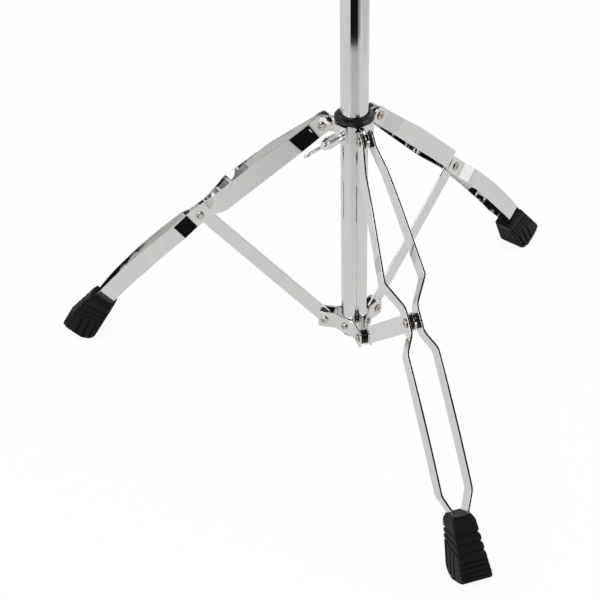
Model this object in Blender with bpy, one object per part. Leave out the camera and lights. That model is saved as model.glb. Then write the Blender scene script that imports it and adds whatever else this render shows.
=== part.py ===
import bpy
import bmesh
from math import cos, pi, radians, sin, sqrt, tan
from mathutils import Matrix, Vector

mm = 0.001

# Fits
FIT_GAP = 0.3 * mm
POLE_RADIUS = 0.1 * mm
ROUND_STEPS = 24
HIDDEN_STEPS = 16
SMALL_STEPS = 12

# Main tube
TUBE_RADIUS = 14.3 * mm
TUBE_WALL = 1.6 * mm
TUBE_LENGTH = 520 * mm
TUBE_BELOW_PIVOT = 12 * mm

# Linkage: collar pivot, middle pivot and lower pivot make an isosceles triangle on each arm
PIVOT_RADIUS = 33 * mm
LINK_LENGTH = 186.5 * mm
SPREAD_SLOPE = radians(42.3)
ARM_NAMES = ("front", "right", "left")
ARM_TURN = radians(120)
FIRST_ARM_HEADING = radians(-90)

# Leg strips, measured along the leg from the collar pivot
STRIP_THICKNESS = 2 * mm
STRIP_END_RADIUS = 9.4 * mm
STRIP_END_FULLNESS = 3
FLAT_END = 8.8 * mm
UPPER_FLARE_END = 35.5 * mm
WIDEST = 145.5 * mm
MIDDLE_FLAT_START = LINK_LENGTH - 14 * mm
MIDDLE_FLAT_END = LINK_LENGTH + 12 * mm
LOWER_FLARE_END = LINK_LENGTH + 30.5 * mm
LOWER_SPAN_MIDDLE = 290 * mm
ANKLE_BEND_START = 350 * mm
ANKLE = 370 * mm
STRIP_IN_FOOT = 24 * mm
LEG_BEND = radians(8)
FOLD_EASE = 3 * mm

# Outer faces of the two strips, measured sideways from the middle of the leg
PINCHED_REACH = 7.2 * mm
UPPER_FLARE_REACH = 12.3 * mm
WIDEST_REACH = 22 * mm
LOWER_REACH = 16.6 * mm
ANKLE_REACH = 8 * mm
FOOT_INNER_REACH = 7 * mm

# Strip height above and below the line through the pivots
STRIP_HALF_HEIGHT = 9.1 * mm
SPAN_TOP_HEIGHT = 12.4 * mm
LOWER_SPAN_TOP = 9.6 * mm
LOWER_SPAN_BOTTOM = 11 * mm
ANKLE_TOP = 9.2 * mm
ANKLE_BOTTOM = 10.4 * mm
BURIED_END_HEIGHT = 4.5 * mm

# Stays
STAY_THICKNESS = 2.6 * mm
STAY_HALF_HEIGHT = 9.2 * mm

# Rivets and pivot bushings
RIVET_RADIUS = 3 * mm
RIVET_HEAD_RADIUS = 5 * mm
RIVET_HEAD_HEIGHT = 1.6 * mm
RIVET_DIMPLE_RADIUS = 1.8 * mm
BUSHING_FLANGE_RADIUS = 7.6 * mm
BUSHING_BARREL_RADIUS = 4.3 * mm

# Rubber feet: the side outline has a top face, a steep heel, a sloping toe and a flat sole
FOOT_DROP = 60 * mm
FOOT_HEEL_TOP = (-12 * mm, -6.5 * mm)
FOOT_TOE_TOP = (11.5 * mm, 6.5 * mm)
FOOT_HEEL_SLOPE = radians(60.5)
FOOT_TOE_SLOPE = radians(47.6)
FOOT_HEEL_ROUND = 10 * mm
FOOT_TOE_ROUND = 5 * mm
FOOT_TOE_CUT = 35 * mm
FOOT_TOE_CUT_SLOPE = radians(36)
FOOT_TOP_HALF_WIDTH = 11.5 * mm
FOOT_SOLE_HALF_WIDTH = 15.2 * mm
FOOT_GROOVES = (0.22, 0.33, 0.44)
FOOT_GROOVE_HALF_WIDTH = 0.018
FOOT_GROOVE_DEPTH = 1.9 * mm
FOOT_RIB_COUNT = 3
FOOT_RIB_DEPTH = 2.2 * mm
FOOT_TREAD_COUNT = 4
FOOT_TREAD_DEPTH = 1.1 * mm
FOOT_CHAMFER = 2 * mm
FOOT_WIDEST_SHARE = 0.8

# Lower bracket: three folded plates around the tube
PLATE_THICKNESS = 2 * mm
PLATE_HEIGHT = 20.5 * mm
EAR_REACH = 7.3 * mm
EAR_TIP_BEYOND_PIVOT = 7.2 * mm
EAR_CORNER_RADIUS = 5.5 * mm
PLATE_BEND_RADIUS = 3 * mm
PLATE_BOLT_RADIUS = 2 * mm
PLATE_BOLT_HEAD_RADIUS = 4.2 * mm
PLATE_BOLT_HEAD_HEIGHT = 2.2 * mm

# Collar: a nylon ring inside a bracket with three lugs and a screw boss
RING_FLANGE_RADIUS = 20.6 * mm
RING_FLANGE_HEIGHT = 6.6 * mm
RING_SLEEVE_RADIUS = 17.2 * mm
COLLAR_OUTER_RADIUS = 19.8 * mm
COLLAR_ABOVE_PIVOT = 8.8 * mm
COLLAR_BELOW_PIVOT = 11 * mm
LUG_THICKNESS = 4 * mm
LUG_END_RADIUS = 8.4 * mm
BOSS_HALF_WIDTH = 7.5 * mm
BOSS_REACH = 22.5 * mm
BOSS_TOP = 8.8 * mm
BOSS_BOTTOM = -11 * mm
SCREW_HEADING = radians(-60)
SCREW_DROP = 3 * mm

# Screws with wings
SCREW_RADIUS = 3 * mm
HUB_RADIUS = 6.4 * mm
HUB_LENGTH = 24 * mm
WING_THICKNESS = 3.6 * mm
WING_ROOT_LOW = 4 * mm
WING_TIP = (15 * mm, 34 * mm)
WING_TIP_RADIUS = 5.5 * mm
COLLAR_SCREW_TURN = radians(-49)

# Height clamp, upper tube and memory lock
CLAMP_OUTER_RADIUS = 19.5 * mm
CLAMP_BELOW_RIM = 22 * mm
CLAMP_ABOVE_RIM = 14 * mm
UPPER_TUBE_RADIUS = 11.1 * mm
UPPER_TUBE_WALL = 1.4 * mm
UPPER_TUBE_OVERLAP = 250 * mm
UPPER_TUBE_SHOWING = 235 * mm
INSERT_DEPTH = 45 * mm
INSERT_FLANGE_HEIGHT = 3 * mm
LOCK_RADIUS = 17 * mm
LOCK_HEIGHT = 16 * mm
LOCK_SCREW_HEAD_RADIUS = 4.6 * mm
LOCK_KEY_SIZE = 5 * mm
LOCK_KEY_REACH = 7 * mm
CLAMP_BOSS_RADIUS = 6.2 * mm
CLAMP_BOSS_LENGTH = 4 * mm

# Tilter and pad plate
TILTER_SOCKET_RADIUS = 14 * mm
TILTER_SOCKET_DEPTH = 20 * mm
TILTER_AXIS_ABOVE_TUBE = 34 * mm
TILTER_TONGUE = 10 * mm
TILTER_CHEEK = 5 * mm
TILTER_ROUND = 12 * mm
TILTER_HEAD_RISE = 34 * mm
TILTER_HEAD_WIDTH = 56 * mm
TILTER_HEAD_DEPTH = 40 * mm
TILTER_HEAD_THICKNESS = 5 * mm
TILTER_HEAD_CORNER = 6 * mm
TILT_BOLT_HEAD_RADIUS = 5.6 * mm
TILT_NUT_LENGTH = 10 * mm
PAD_PLATE_WIDTH = 190 * mm
PAD_PLATE_DEPTH = 120 * mm
PAD_PLATE_THICKNESS = 3 * mm
PAD_PLATE_CORNER = 14 * mm
PAD_SLOT_SPACING = (150 * mm, 80 * mm)
PAD_SLOT_SIZE = (16 * mm, 6.6 * mm)
PAD_SCREW_SPACING = 40 * mm
PAD_SCREW_RADIUS = 2 * mm
PAD_SCREW_HEAD_RADIUS = 4.2 * mm

# Heights that follow from the sizes above
link_rise = LINK_LENGTH * sin(SPREAD_SLOPE)


def leg_point(along):
    """Point and downward angle of the leg's middle line, in the leg's own frame."""
    if along <= LOWER_FLARE_END:
        return Vector((along, 0, 0)), 0.0
    bent_run = ANKLE - LOWER_FLARE_END
    bend_radius = bent_run / LEG_BEND
    swept = min(along - LOWER_FLARE_END, bent_run) / bend_radius
    drop = bend_radius * (1 - cos(swept))
    point = Vector((LOWER_FLARE_END + bend_radius * sin(swept), 0, -drop))
    rest = max(along - ANKLE, 0)
    return point + Vector((rest * cos(swept), 0, -rest * sin(swept))), swept


leg_tilt = Matrix.Rotation(SPREAD_SLOPE, 4, "Y")
ankle_from_collar = leg_tilt @ leg_point(ANKLE)[0]
collar_height = FOOT_DROP - ankle_from_collar.z
middle_height = collar_height - link_rise
lower_height = middle_height - link_rise
tube_bottom = lower_height - TUBE_BELOW_PIVOT
tube_rim = tube_bottom + TUBE_LENGTH
clamp_top = tube_rim + CLAMP_ABOVE_RIM
upper_tube_top = tube_rim + UPPER_TUBE_SHOWING
tilt_height = upper_tube_top + TILTER_AXIS_ABOVE_TUBE


def clear_scene():
    for item in list(bpy.data.objects):
        bpy.data.objects.remove(item, do_unlink=True)


def finish(name, colour, metallic, roughness):
    made = bpy.data.materials.new(name)
    made.use_nodes = True
    shader = made.node_tree.nodes["Principled BSDF"]
    shader.inputs["Base Color"].default_value = (*colour, 1)
    shader.inputs["Metallic"].default_value = metallic
    shader.inputs["Roughness"].default_value = roughness
    return made


def chrome():
    return finish("chrome", (0.78, 0.78, 0.77), 1, 0.08)


def nickel():
    return finish("nickel", (0.72, 0.68, 0.62), 1, 0.25)


def black_nylon():
    return finish("black_nylon", (0.02, 0.018, 0.022), 0, 0.45)


def black_rubber():
    return finish("black_rubber", (0.018, 0.018, 0.018), 0, 0.7)


def black_paint():
    return finish("black_paint", (0.03, 0.03, 0.032), 0, 0.4)


def empty(name, parent, matrix):
    made = bpy.data.objects.new(name, None)
    bpy.context.scene.collection.objects.link(made)
    made.parent = parent
    made.matrix_local = matrix
    return made


def solid(name, bm, parent, matrix, material):
    """Turn a bmesh into a named object with its faces pointing out."""
    bmesh.ops.recalc_face_normals(bm, faces=bm.faces)
    mesh = bpy.data.meshes.new(name)
    bm.to_mesh(mesh)
    bm.free()
    made = bpy.data.objects.new(name, mesh)
    bpy.context.scene.collection.objects.link(made)
    made.parent = parent
    made.matrix_local = matrix
    if material:
        mesh.materials.append(material)
    mesh.shade_smooth()
    mesh.set_sharp_from_angle(angle=radians(32))
    return made


def combine(target, other, operation):
    """Cut or join with a hidden helper solid."""
    other.hide_render = True
    other.display_type = "WIRE"
    modifier = target.modifiers.new(other.name, "BOOLEAN")
    modifier.operation = operation
    modifier.solver = "EXACT"
    modifier.object = other


def cut(target, other):
    combine(target, other, "DIFFERENCE")


def join(target, other):
    combine(target, other, "UNION")


def loft(sections, closed_loop=False):
    """Skin rings of equal point counts, with flat ends or joined end to end."""
    bm = bmesh.new()
    rings = [[bm.verts.new(point) for point in section] for section in sections]
    pairs = list(zip(rings, rings[1:]))
    if closed_loop:
        pairs.append((rings[-1], rings[0]))
    for first, second in pairs:
        count = len(first)
        for i in range(count):
            j = (i + 1) % count
            bm.faces.new((first[i], first[j], second[j], second[i]))
    if not closed_loop:
        bm.faces.new(rings[0])
        bm.faces.new(rings[-1])
    return bm


def turned(profile, steps=ROUND_STEPS):
    """Turn (radius, height) pairs about Z. A ring's profile closes on itself."""
    is_ring = min(radius for radius, _ in profile) > 0.2 * mm
    sections = []
    for radius, height in profile:
        angles = [2 * pi * i / steps for i in range(steps)]
        sections.append([Vector((radius * cos(a), radius * sin(a), height)) for a in angles])
    return loft(sections, closed_loop=is_ring)


def cylinder(radius, low, high, steps=SMALL_STEPS):
    bm = bmesh.new()
    rings = []
    for height in (low, high):
        angles = [2 * pi * (i + 0.5) / steps for i in range(steps)]
        rings.append([bm.verts.new((radius * cos(a), radius * sin(a), height)) for a in angles])
    for i in range(steps):
        j = (i + 1) % steps
        bm.faces.new((rings[0][i], rings[0][j], rings[1][j], rings[1][i]))
    bm.faces.new(rings[0])
    bm.faces.new(rings[1])
    return bm


def prism(outline, low, high):
    """Extrude a flat outline of (x, y) pairs along Z."""
    return loft([[Vector((x, y, height)) for x, y in outline] for height in (low, high)])


def rounded_rectangle(width, depth, radius, steps=4):
    points = []
    for turn in range(4):
        centre_x = (width / 2 - radius) * (1, -1, -1, 1)[turn]
        centre_y = (depth / 2 - radius) * (1, 1, -1, -1)[turn]
        for i in range(steps + 1):
            angle = (turn + i / steps) * pi / 2
            points.append((centre_x + radius * cos(angle), centre_y + radius * sin(angle)))
    return points


def fillet(before, corner, after, radius, steps):
    """Arc that rounds a corner between two straight lines."""
    before, corner, after = Vector(before), Vector(corner), Vector(after)
    to_before = (before - corner).normalized()
    to_after = (after - corner).normalized()
    half = to_before.angle(to_after) / 2
    setback = radius / tan(half)
    centre = corner + (to_before + to_after).normalized() * (radius / sin(half))
    start = corner + to_before * setback - centre
    end = corner + to_after * setback - centre
    sweep = start.angle(end)
    points = []
    for i in range(steps + 1):
        part = i / steps
        direction = start * sin((1 - part) * sweep) + end * sin(part * sweep)
        points.append(centre + direction / sin(sweep))
    return points


def knot_value(knots, along):
    """Straight-line interpolation in (place, value) pairs."""
    if along <= knots[0][0]:
        return knots[0][1]
    for (start, first), (end, second) in zip(knots, knots[1:]):
        if along <= end:
            return first + (second - first) * (along - start) / (end - start)
    return knots[-1][1]


def eased_value(knots, along):
    """The same with each corner softened over the fold's own length."""
    offsets = [FOLD_EASE * (i - 2) / 2 for i in range(5)]
    return sum(knot_value(knots, along + offset) for offset in offsets) / len(offsets)


def strip_reach_knots():
    return [
        (FLAT_END, PINCHED_REACH),
        (UPPER_FLARE_END, UPPER_FLARE_REACH),
        (WIDEST, WIDEST_REACH),
        (MIDDLE_FLAT_START, PINCHED_REACH),
        (MIDDLE_FLAT_END, PINCHED_REACH),
        (LOWER_FLARE_END, LOWER_REACH),
        (ANKLE_BEND_START, LOWER_REACH),
        (ANKLE, ANKLE_REACH),
        (ANKLE + STRIP_IN_FOOT, FOOT_INNER_REACH),
    ]


def strip_top_knots():
    return [
        (FLAT_END, STRIP_HALF_HEIGHT),
        (UPPER_FLARE_END, STRIP_HALF_HEIGHT + 1 * mm),
        (70 * mm, SPAN_TOP_HEIGHT),
        (WIDEST, SPAN_TOP_HEIGHT - 0.4 * mm),
        (MIDDLE_FLAT_START, STRIP_HALF_HEIGHT),
        (LOWER_FLARE_END, STRIP_HALF_HEIGHT),
        (LOWER_SPAN_MIDDLE, LOWER_SPAN_TOP),
        (ANKLE, ANKLE_TOP),
        (ANKLE + STRIP_IN_FOOT, BURIED_END_HEIGHT),
    ]


def strip_bottom_knots():
    return [
        (LOWER_FLARE_END, STRIP_HALF_HEIGHT),
        (LOWER_SPAN_MIDDLE, LOWER_SPAN_BOTTOM),
        (ANKLE, ANKLE_BOTTOM),
        (ANKLE + STRIP_IN_FOOT, BURIED_END_HEIGHT),
    ]


def strip_places():
    """Places along the strip that need a section: the round end, each fold and the bent run."""
    places = [-STRIP_END_RADIUS * cos(radians(angle)) for angle in (6, 20, 38, 56)]
    for place, _ in strip_reach_knots()[:-1]:
        places += [place - FOLD_EASE, place, place + FOLD_EASE]
    places += [0.42 * FLAT_END, 70 * mm, 100 * mm]
    run = ANKLE_BEND_START - LOWER_FLARE_END
    places += [LOWER_FLARE_END + run * i / 6 for i in range(1, 6)]
    places += [ANKLE + 10 * mm, ANKLE + STRIP_IN_FOOT]
    return sorted(places)


def strip_mesh(side, grow=0.0):
    """One pressed flat strip of a leg, on the +Y or -Y side."""
    sections = []
    for along in strip_places():
        end_push = grow if along == ANKLE + STRIP_IN_FOOT else 0
        centre, down = leg_point(along + end_push)
        slope = eased_value(strip_reach_knots(), along + 1 * mm)
        slope = (slope - eased_value(strip_reach_knots(), along - 1 * mm)) / (2 * mm)
        reach = eased_value(strip_reach_knots(), along)
        top = eased_value(strip_top_knots(), along)
        bottom = eased_value(strip_bottom_knots(), along)
        if along < 0:
            rounding = 1 - (-along / STRIP_END_RADIUS) ** STRIP_END_FULLNESS
            top = bottom = STRIP_HALF_HEIGHT * rounding ** (1 / STRIP_END_FULLNESS)
        outer = reach + grow
        inner = reach - STRIP_THICKNESS * sqrt(1 + slope * slope) - grow
        up = Vector((sin(down), 0, cos(down)))
        high, low = top + grow, -bottom - grow
        corners = [(outer, high), (outer, low), (inner, low), (inner, high)]
        section = []
        for across, height in corners:
            section.append(centre + up * height + Vector((0, side * across, 0)))
        sections.append(section)
    return loft(sections)


def sideways(place):
    """Frame with its Z along the arm's sideways axis, at a point of the arm."""
    return Matrix.Translation(place) @ Matrix.Rotation(-pi / 2, 4, "X")


def rivet(name, parent, place, grip, material):
    """Tubular rivet across the arm with a dished head at each end."""
    face = grip + FIT_GAP
    top = face + RIVET_HEAD_HEIGHT
    half = [
        (RIVET_RADIUS, face),
        (RIVET_HEAD_RADIUS, face),
        (RIVET_HEAD_RADIUS * 0.9, face + RIVET_HEAD_HEIGHT * 0.6),
        (RIVET_DIMPLE_RADIUS * 1.4, top),
        (RIVET_DIMPLE_RADIUS * 0.8, top - 0.6 * mm),
    ]
    other = [(radius, -height) for radius, height in reversed(half)]
    return solid(name, turned(other + half, SMALL_STEPS), parent, sideways(place), material)


def pivot_bushing(name, parent, place, core, reach, material):
    """Nylon bushing: a flange on each side of the middle piece and a barrel through it."""
    bore = RIVET_RADIUS + FIT_GAP
    inner = core + FIT_GAP
    profile = [
        (bore, -reach),
        (BUSHING_FLANGE_RADIUS, -reach),
        (BUSHING_FLANGE_RADIUS, -inner),
        (BUSHING_BARREL_RADIUS, -inner),
        (BUSHING_BARREL_RADIUS, inner),
        (BUSHING_FLANGE_RADIUS, inner),
        (BUSHING_FLANGE_RADIUS, reach),
        (bore, reach),
    ]
    return solid(name, turned(profile, SMALL_STEPS), parent, sideways(place), material)


def hole_across(target, name, matrix, radius, length):
    """Drill a hole along the arm's sideways axis, at the origin of the frame given."""
    turn = matrix @ sideways(Vector())
    cut(target, solid(name, cylinder(radius, -length, length), target.parent, turn, None))


def leg_strip(name, frame, shift, side, material):
    strip = solid(name, strip_mesh(side), frame, shift, material)
    for number, along in enumerate((0, LINK_LENGTH)):
        pivot = shift @ Matrix.Translation((along, 0, 0))
        hole_across(strip, f"{name}_hole_{number}", pivot, RIVET_RADIUS + FIT_GAP, 30 * mm)
    return strip


def chain_place(chain, part):
    """Point at a share of a polyline's length."""
    lengths = [(second - first).length for first, second in zip(chain, chain[1:])]
    target = part * sum(lengths)
    for (first, second), length in zip(zip(chain, chain[1:]), lengths):
        if target <= length:
            return first.lerp(second, target / length)
        target -= length
    return chain[-1].copy()


def foot_chains():
    """Heel side and toe side of the foot's outline, from the top face to the sole."""
    floor = -FOOT_DROP
    heel_top = Vector((FOOT_HEEL_TOP[0], FOOT_HEEL_TOP[1]))
    toe_top = Vector((FOOT_TOE_TOP[0], FOOT_TOE_TOP[1]))
    heel = Vector((heel_top.x + (heel_top.y - floor) / tan(FOOT_HEEL_SLOPE), floor))
    toe = Vector((toe_top.x + (toe_top.y - floor) / tan(FOOT_TOE_SLOPE), floor))
    cut_foot = toe - Vector((FOOT_TOE_CUT, 0))
    turn = FOOT_TOE_CUT_SLOPE + FOOT_TOE_SLOPE
    cut_length = FOOT_TOE_CUT * sin(FOOT_TOE_SLOPE) / sin(turn)
    cut_top = cut_foot + Vector((cos(FOOT_TOE_CUT_SLOPE), sin(FOOT_TOE_CUT_SLOPE))) * cut_length
    heel_chain = [heel_top] + fillet(heel_top, heel, toe, FOOT_HEEL_ROUND, 4)
    toe_chain = [toe_top] + fillet(toe_top, cut_top, cut_foot, FOOT_TOE_ROUND, 4)
    toe_chain += fillet(cut_top, cut_foot, heel, FOOT_TOE_ROUND, 2)
    return heel_chain, toe_chain


def foot_stations():
    """Shares of the foot's length with how deep the grooves, ribs and tread are there."""
    stations = [(0.0, 1.4 * mm, 0, 0), (0.06, 0, 0, 0)]
    for groove in FOOT_GROOVES:
        width = FOOT_GROOVE_HALF_WIDTH
        stations.append((groove - width * 1.4, 0, 0, 0))
        stations.append((groove, FOOT_GROOVE_DEPTH, 0, FOOT_TREAD_DEPTH))
        stations.append((groove + width * 1.4, 0, 0, 0))
    rib_start = FOOT_GROOVES[-1] + 0.04
    stations.append((rib_start, 0, FOOT_RIB_DEPTH, 0))
    step = (0.98 - rib_start) / FOOT_TREAD_COUNT
    for number in range(FOOT_TREAD_COUNT):
        start = rib_start + step * number
        stations.append((start + step * 0.7, 0, FOOT_RIB_DEPTH, 0))
        stations.append((start + step * 0.98, 0, FOOT_RIB_DEPTH, FOOT_TREAD_DEPTH))
    stations.append((1.0, 0.8 * mm, FOOT_RIB_DEPTH, 0))
    return stations


def foot_section(part, inset, rib_depth, tread_depth):
    """One closed section of the foot, from its heel side to its toe side."""
    heel_chain, toe_chain = foot_chains()
    heel, toe = chain_place(heel_chain, part), chain_place(toe_chain, part)
    across = (toe - heel).normalized()
    is_end = part in (0.0, 1.0)
    heel = heel + across * (inset if not is_end else 0)
    toe = toe - across * ((inset if not is_end else 0) + tread_depth)
    length = (toe - heel).length
    widening = (FOOT_SOLE_HALF_WIDTH - FOOT_TOP_HALF_WIDTH) * min(part / FOOT_WIDEST_SHARE, 1)
    half = FOOT_TOP_HALF_WIDTH + widening - inset
    chamfer = min(FOOT_CHAMFER, 0.2 * length) / length
    side = [(0, half - FOOT_CHAMFER), (chamfer, half)]
    pitch = (1 - 2 * chamfer) / FOOT_RIB_COUNT
    for number in range(FOOT_RIB_COUNT):
        middle = chamfer + pitch * (number + 0.5)
        side.append((middle - pitch * 0.18, half))
        side.append((middle, half - rib_depth))
        side.append((middle + pitch * 0.18, half))
    side += [(1 - chamfer, half), (1, half - FOOT_CHAMFER)]
    loop = side + [(share, -width) for share, width in reversed(side)]
    points = []
    for share, width in loop:
        spot = heel + across * (length * share)
        points.append(Vector((spot.x, width, spot.y)))
    return points


def rubber_foot(name, frame, shift, material):
    """Ribbed rubber foot, cut with pockets for the two strips."""
    place = leg_point(ANKLE)[0]
    level = Matrix.Translation(place) @ Matrix.Rotation(-SPREAD_SLOPE, 4, "Y")
    sections = [foot_section(*station) for station in foot_stations()]
    foot = solid(name, loft(sections), frame, shift @ level, material)
    for side in (1, -1):
        tool = solid(f"{name}_pocket_{side}", strip_mesh(side, FIT_GAP), frame, shift, None)
        cut(foot, tool)
    return foot


def bar_outline(length, half_height, steps=10):
    """Flat bar with a round end about each pivot."""
    points = []
    for centre, start in ((length, -pi / 2), (0, pi / 2)):
        for i in range(steps + 1):
            angle = start + pi * i / steps
            points.append((centre + half_height * cos(angle), half_height * sin(angle)))
    return points


def stay(name, frame, shift, material):
    """Flat bar between the lower pivot and the middle pivot, drilled at both ends."""
    outline = bar_outline(LINK_LENGTH, STAY_HALF_HEIGHT)
    upright = Matrix.Rotation(pi / 2, 4, "X")
    body = prism(outline, -STAY_THICKNESS / 2, STAY_THICKNESS / 2)
    bmesh.ops.transform(body, matrix=upright, verts=body.verts)
    bar = solid(name, body, frame, shift, material)
    for number, along in enumerate((0, LINK_LENGTH)):
        pivot = shift @ Matrix.Translation((along, 0, 0))
        hole_across(bar, f"{name}_hole_{number}", pivot, BUSHING_BARREL_RADIUS + FIT_GAP, 10 * mm)
    return bar


def arm_heading(number):
    return FIRST_ARM_HEADING + ARM_TURN * number


def plate_path(heading, far_heading):
    """Middle line of a folded plate, from one arm's ear round the tube to the next arm's ear."""
    middle = EAR_REACH - PLATE_THICKNESS / 2
    flat = TUBE_RADIUS + FIT_GAP + PLATE_THICKNESS / 2
    tip = PIVOT_RADIUS + EAR_TIP_BEYOND_PIVOT
    ends = []
    for angle, side in ((heading, 1), (far_heading, -1)):
        out = Vector((cos(angle), sin(angle)))
        across = Vector((-sin(angle), cos(angle))) * side
        bisector = Vector((cos((heading + far_heading) / 2), sin((heading + far_heading) / 2)))
        bend = (flat - middle * across.dot(bisector)) / out.dot(bisector)
        ends.append((out * tip + across * middle, out * bend + across * middle))
    (first_tip, first_bend), (last_tip, last_bend) = ends
    path = [first_tip, first_tip.lerp(first_bend, 0.12), first_tip.lerp(first_bend, 0.3)]
    path += fillet(first_tip, first_bend, last_bend, PLATE_BEND_RADIUS, 4)
    path += fillet(first_bend, last_bend, last_tip, PLATE_BEND_RADIUS, 4)
    path += [last_bend.lerp(last_tip, 0.7), last_bend.lerp(last_tip, 0.88), last_tip]
    return path


def plate_half_height(distance):
    """Ear corners are rounded, so the plate is lower at its tips."""
    full = PLATE_HEIGHT / 2
    if distance >= EAR_CORNER_RADIUS:
        return full
    missing = EAR_CORNER_RADIUS - distance
    return full - EAR_CORNER_RADIUS + sqrt(max(EAR_CORNER_RADIUS ** 2 - missing ** 2, 0))


def folded_plate(name, parent, heading, far_heading, material):
    path = plate_path(heading, far_heading)
    sections = []
    for index, point in enumerate(path):
        before = path[max(index - 1, 0)]
        after = path[min(index + 1, len(path) - 1)]
        along = (after - before).normalized()
        normal = Vector((along.y, -along.x))
        back = (point - before).normalized() if index else along
        stretch = 1 / max(back.dot(along), 0.5)
        half = PLATE_THICKNESS / 2 * stretch
        tall = plate_half_height(min((point - path[0]).length, (point - path[-1]).length))
        corners = ((half, tall), (-half, tall), (-half, -tall), (half, -tall))
        sections.append([Vector((*(point + normal * out), height)) for out, height in corners])
    place = Matrix.Translation((0, 0, lower_height))
    plate = solid(name, loft(sections), parent, place, material)
    for number, angle in enumerate((heading, far_heading)):
        centre = Matrix.Rotation(angle, 4, "Z") @ Matrix.Translation((PIVOT_RADIUS, 0, 0))
        turn = place @ centre @ Matrix.Rotation(-pi / 2, 4, "X")
        length = EAR_REACH * 1.5
        side = length / 2 * (1 if number == 0 else -1)
        tool = cylinder(RIVET_RADIUS + FIT_GAP, side - length / 2, side + length / 2)
        cut(plate, solid(f"{name}_ear_hole_{number}", tool, parent, turn, None))
    middle = radial((heading + far_heading) / 2, lower_height)
    tool = cylinder(PLATE_BOLT_RADIUS + FIT_GAP, TUBE_RADIUS - 4 * mm, TUBE_RADIUS + 8 * mm)
    cut(plate, solid(f"{name}_bolt_hole", tool, parent, middle, None))
    return plate


def radial(heading, height):
    """Frame with its Z pointing away from the stand's axis."""
    outward = Matrix.Rotation(heading, 4, "Z") @ Matrix.Rotation(pi / 2, 4, "Y")
    return Matrix.Translation((0, 0, height)) @ outward


def plate_bolt(name, parent, heading, material):
    """Round-headed bolt that holds a folded plate to the tube."""
    face = TUBE_RADIUS + FIT_GAP * 2 + PLATE_THICKNESS
    inner = TUBE_RADIUS - TUBE_WALL - 1 * mm
    head = PLATE_BOLT_HEAD_RADIUS
    profile = [
        (POLE_RADIUS, inner),
        (PLATE_BOLT_RADIUS, inner),
        (PLATE_BOLT_RADIUS, face),
        (head, face),
        (head, face + PLATE_BOLT_HEAD_HEIGHT * 0.4),
        (head * 0.65, face + PLATE_BOLT_HEAD_HEIGHT),
        (POLE_RADIUS, face + PLATE_BOLT_HEAD_HEIGHT),
    ]
    return solid(name, turned(profile, SMALL_STEPS), parent, radial(heading, lower_height), material)


def make_lower_tube(axis, material):
    profile = [
        (TUBE_RADIUS - TUBE_WALL, tube_bottom),
        (TUBE_RADIUS, tube_bottom),
        (TUBE_RADIUS, tube_rim),
        (TUBE_RADIUS - TUBE_WALL, tube_rim),
    ]
    tube = solid("lower_tube", turned(profile), axis, Matrix(), material)
    for number in range(3):
        heading = arm_heading(number) + ARM_TURN / 2
        tool = cylinder(PLATE_BOLT_RADIUS + FIT_GAP, TUBE_RADIUS - 4 * mm, TUBE_RADIUS + 3 * mm)
        cut(tube, solid(f"tube_hole_{number}", tool, axis, radial(heading, lower_height), None))


def make_tube_plug(axis, material):
    inner = TUBE_RADIUS - TUBE_WALL - FIT_GAP
    low = tube_bottom - FIT_GAP
    profile = [
        (POLE_RADIUS, low - 3 * mm),
        (TUBE_RADIUS - 1.5 * mm, low - 3 * mm),
        (TUBE_RADIUS, low - 1.5 * mm),
        (TUBE_RADIUS, low),
        (inner, low),
        (inner, low + 6 * mm),
        (inner - 1 * mm, low + 7 * mm),
        (POLE_RADIUS, low + 7 * mm),
    ]
    solid("tube_plug", turned(profile, HIDDEN_STEPS), axis, Matrix(), material)


def make_lower_bracket(axis, material, bolt_material):
    for number, name in enumerate(ARM_NAMES):
        heading = arm_heading(number)
        far = heading + ARM_TURN
        label = f"{name}_{ARM_NAMES[(number + 1) % 3]}"
        folded_plate(f"bracket_plate_{label}", axis, heading, far, material)
        plate_bolt(f"bracket_bolt_{label}", axis, (heading + far) / 2, bolt_material)


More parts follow.
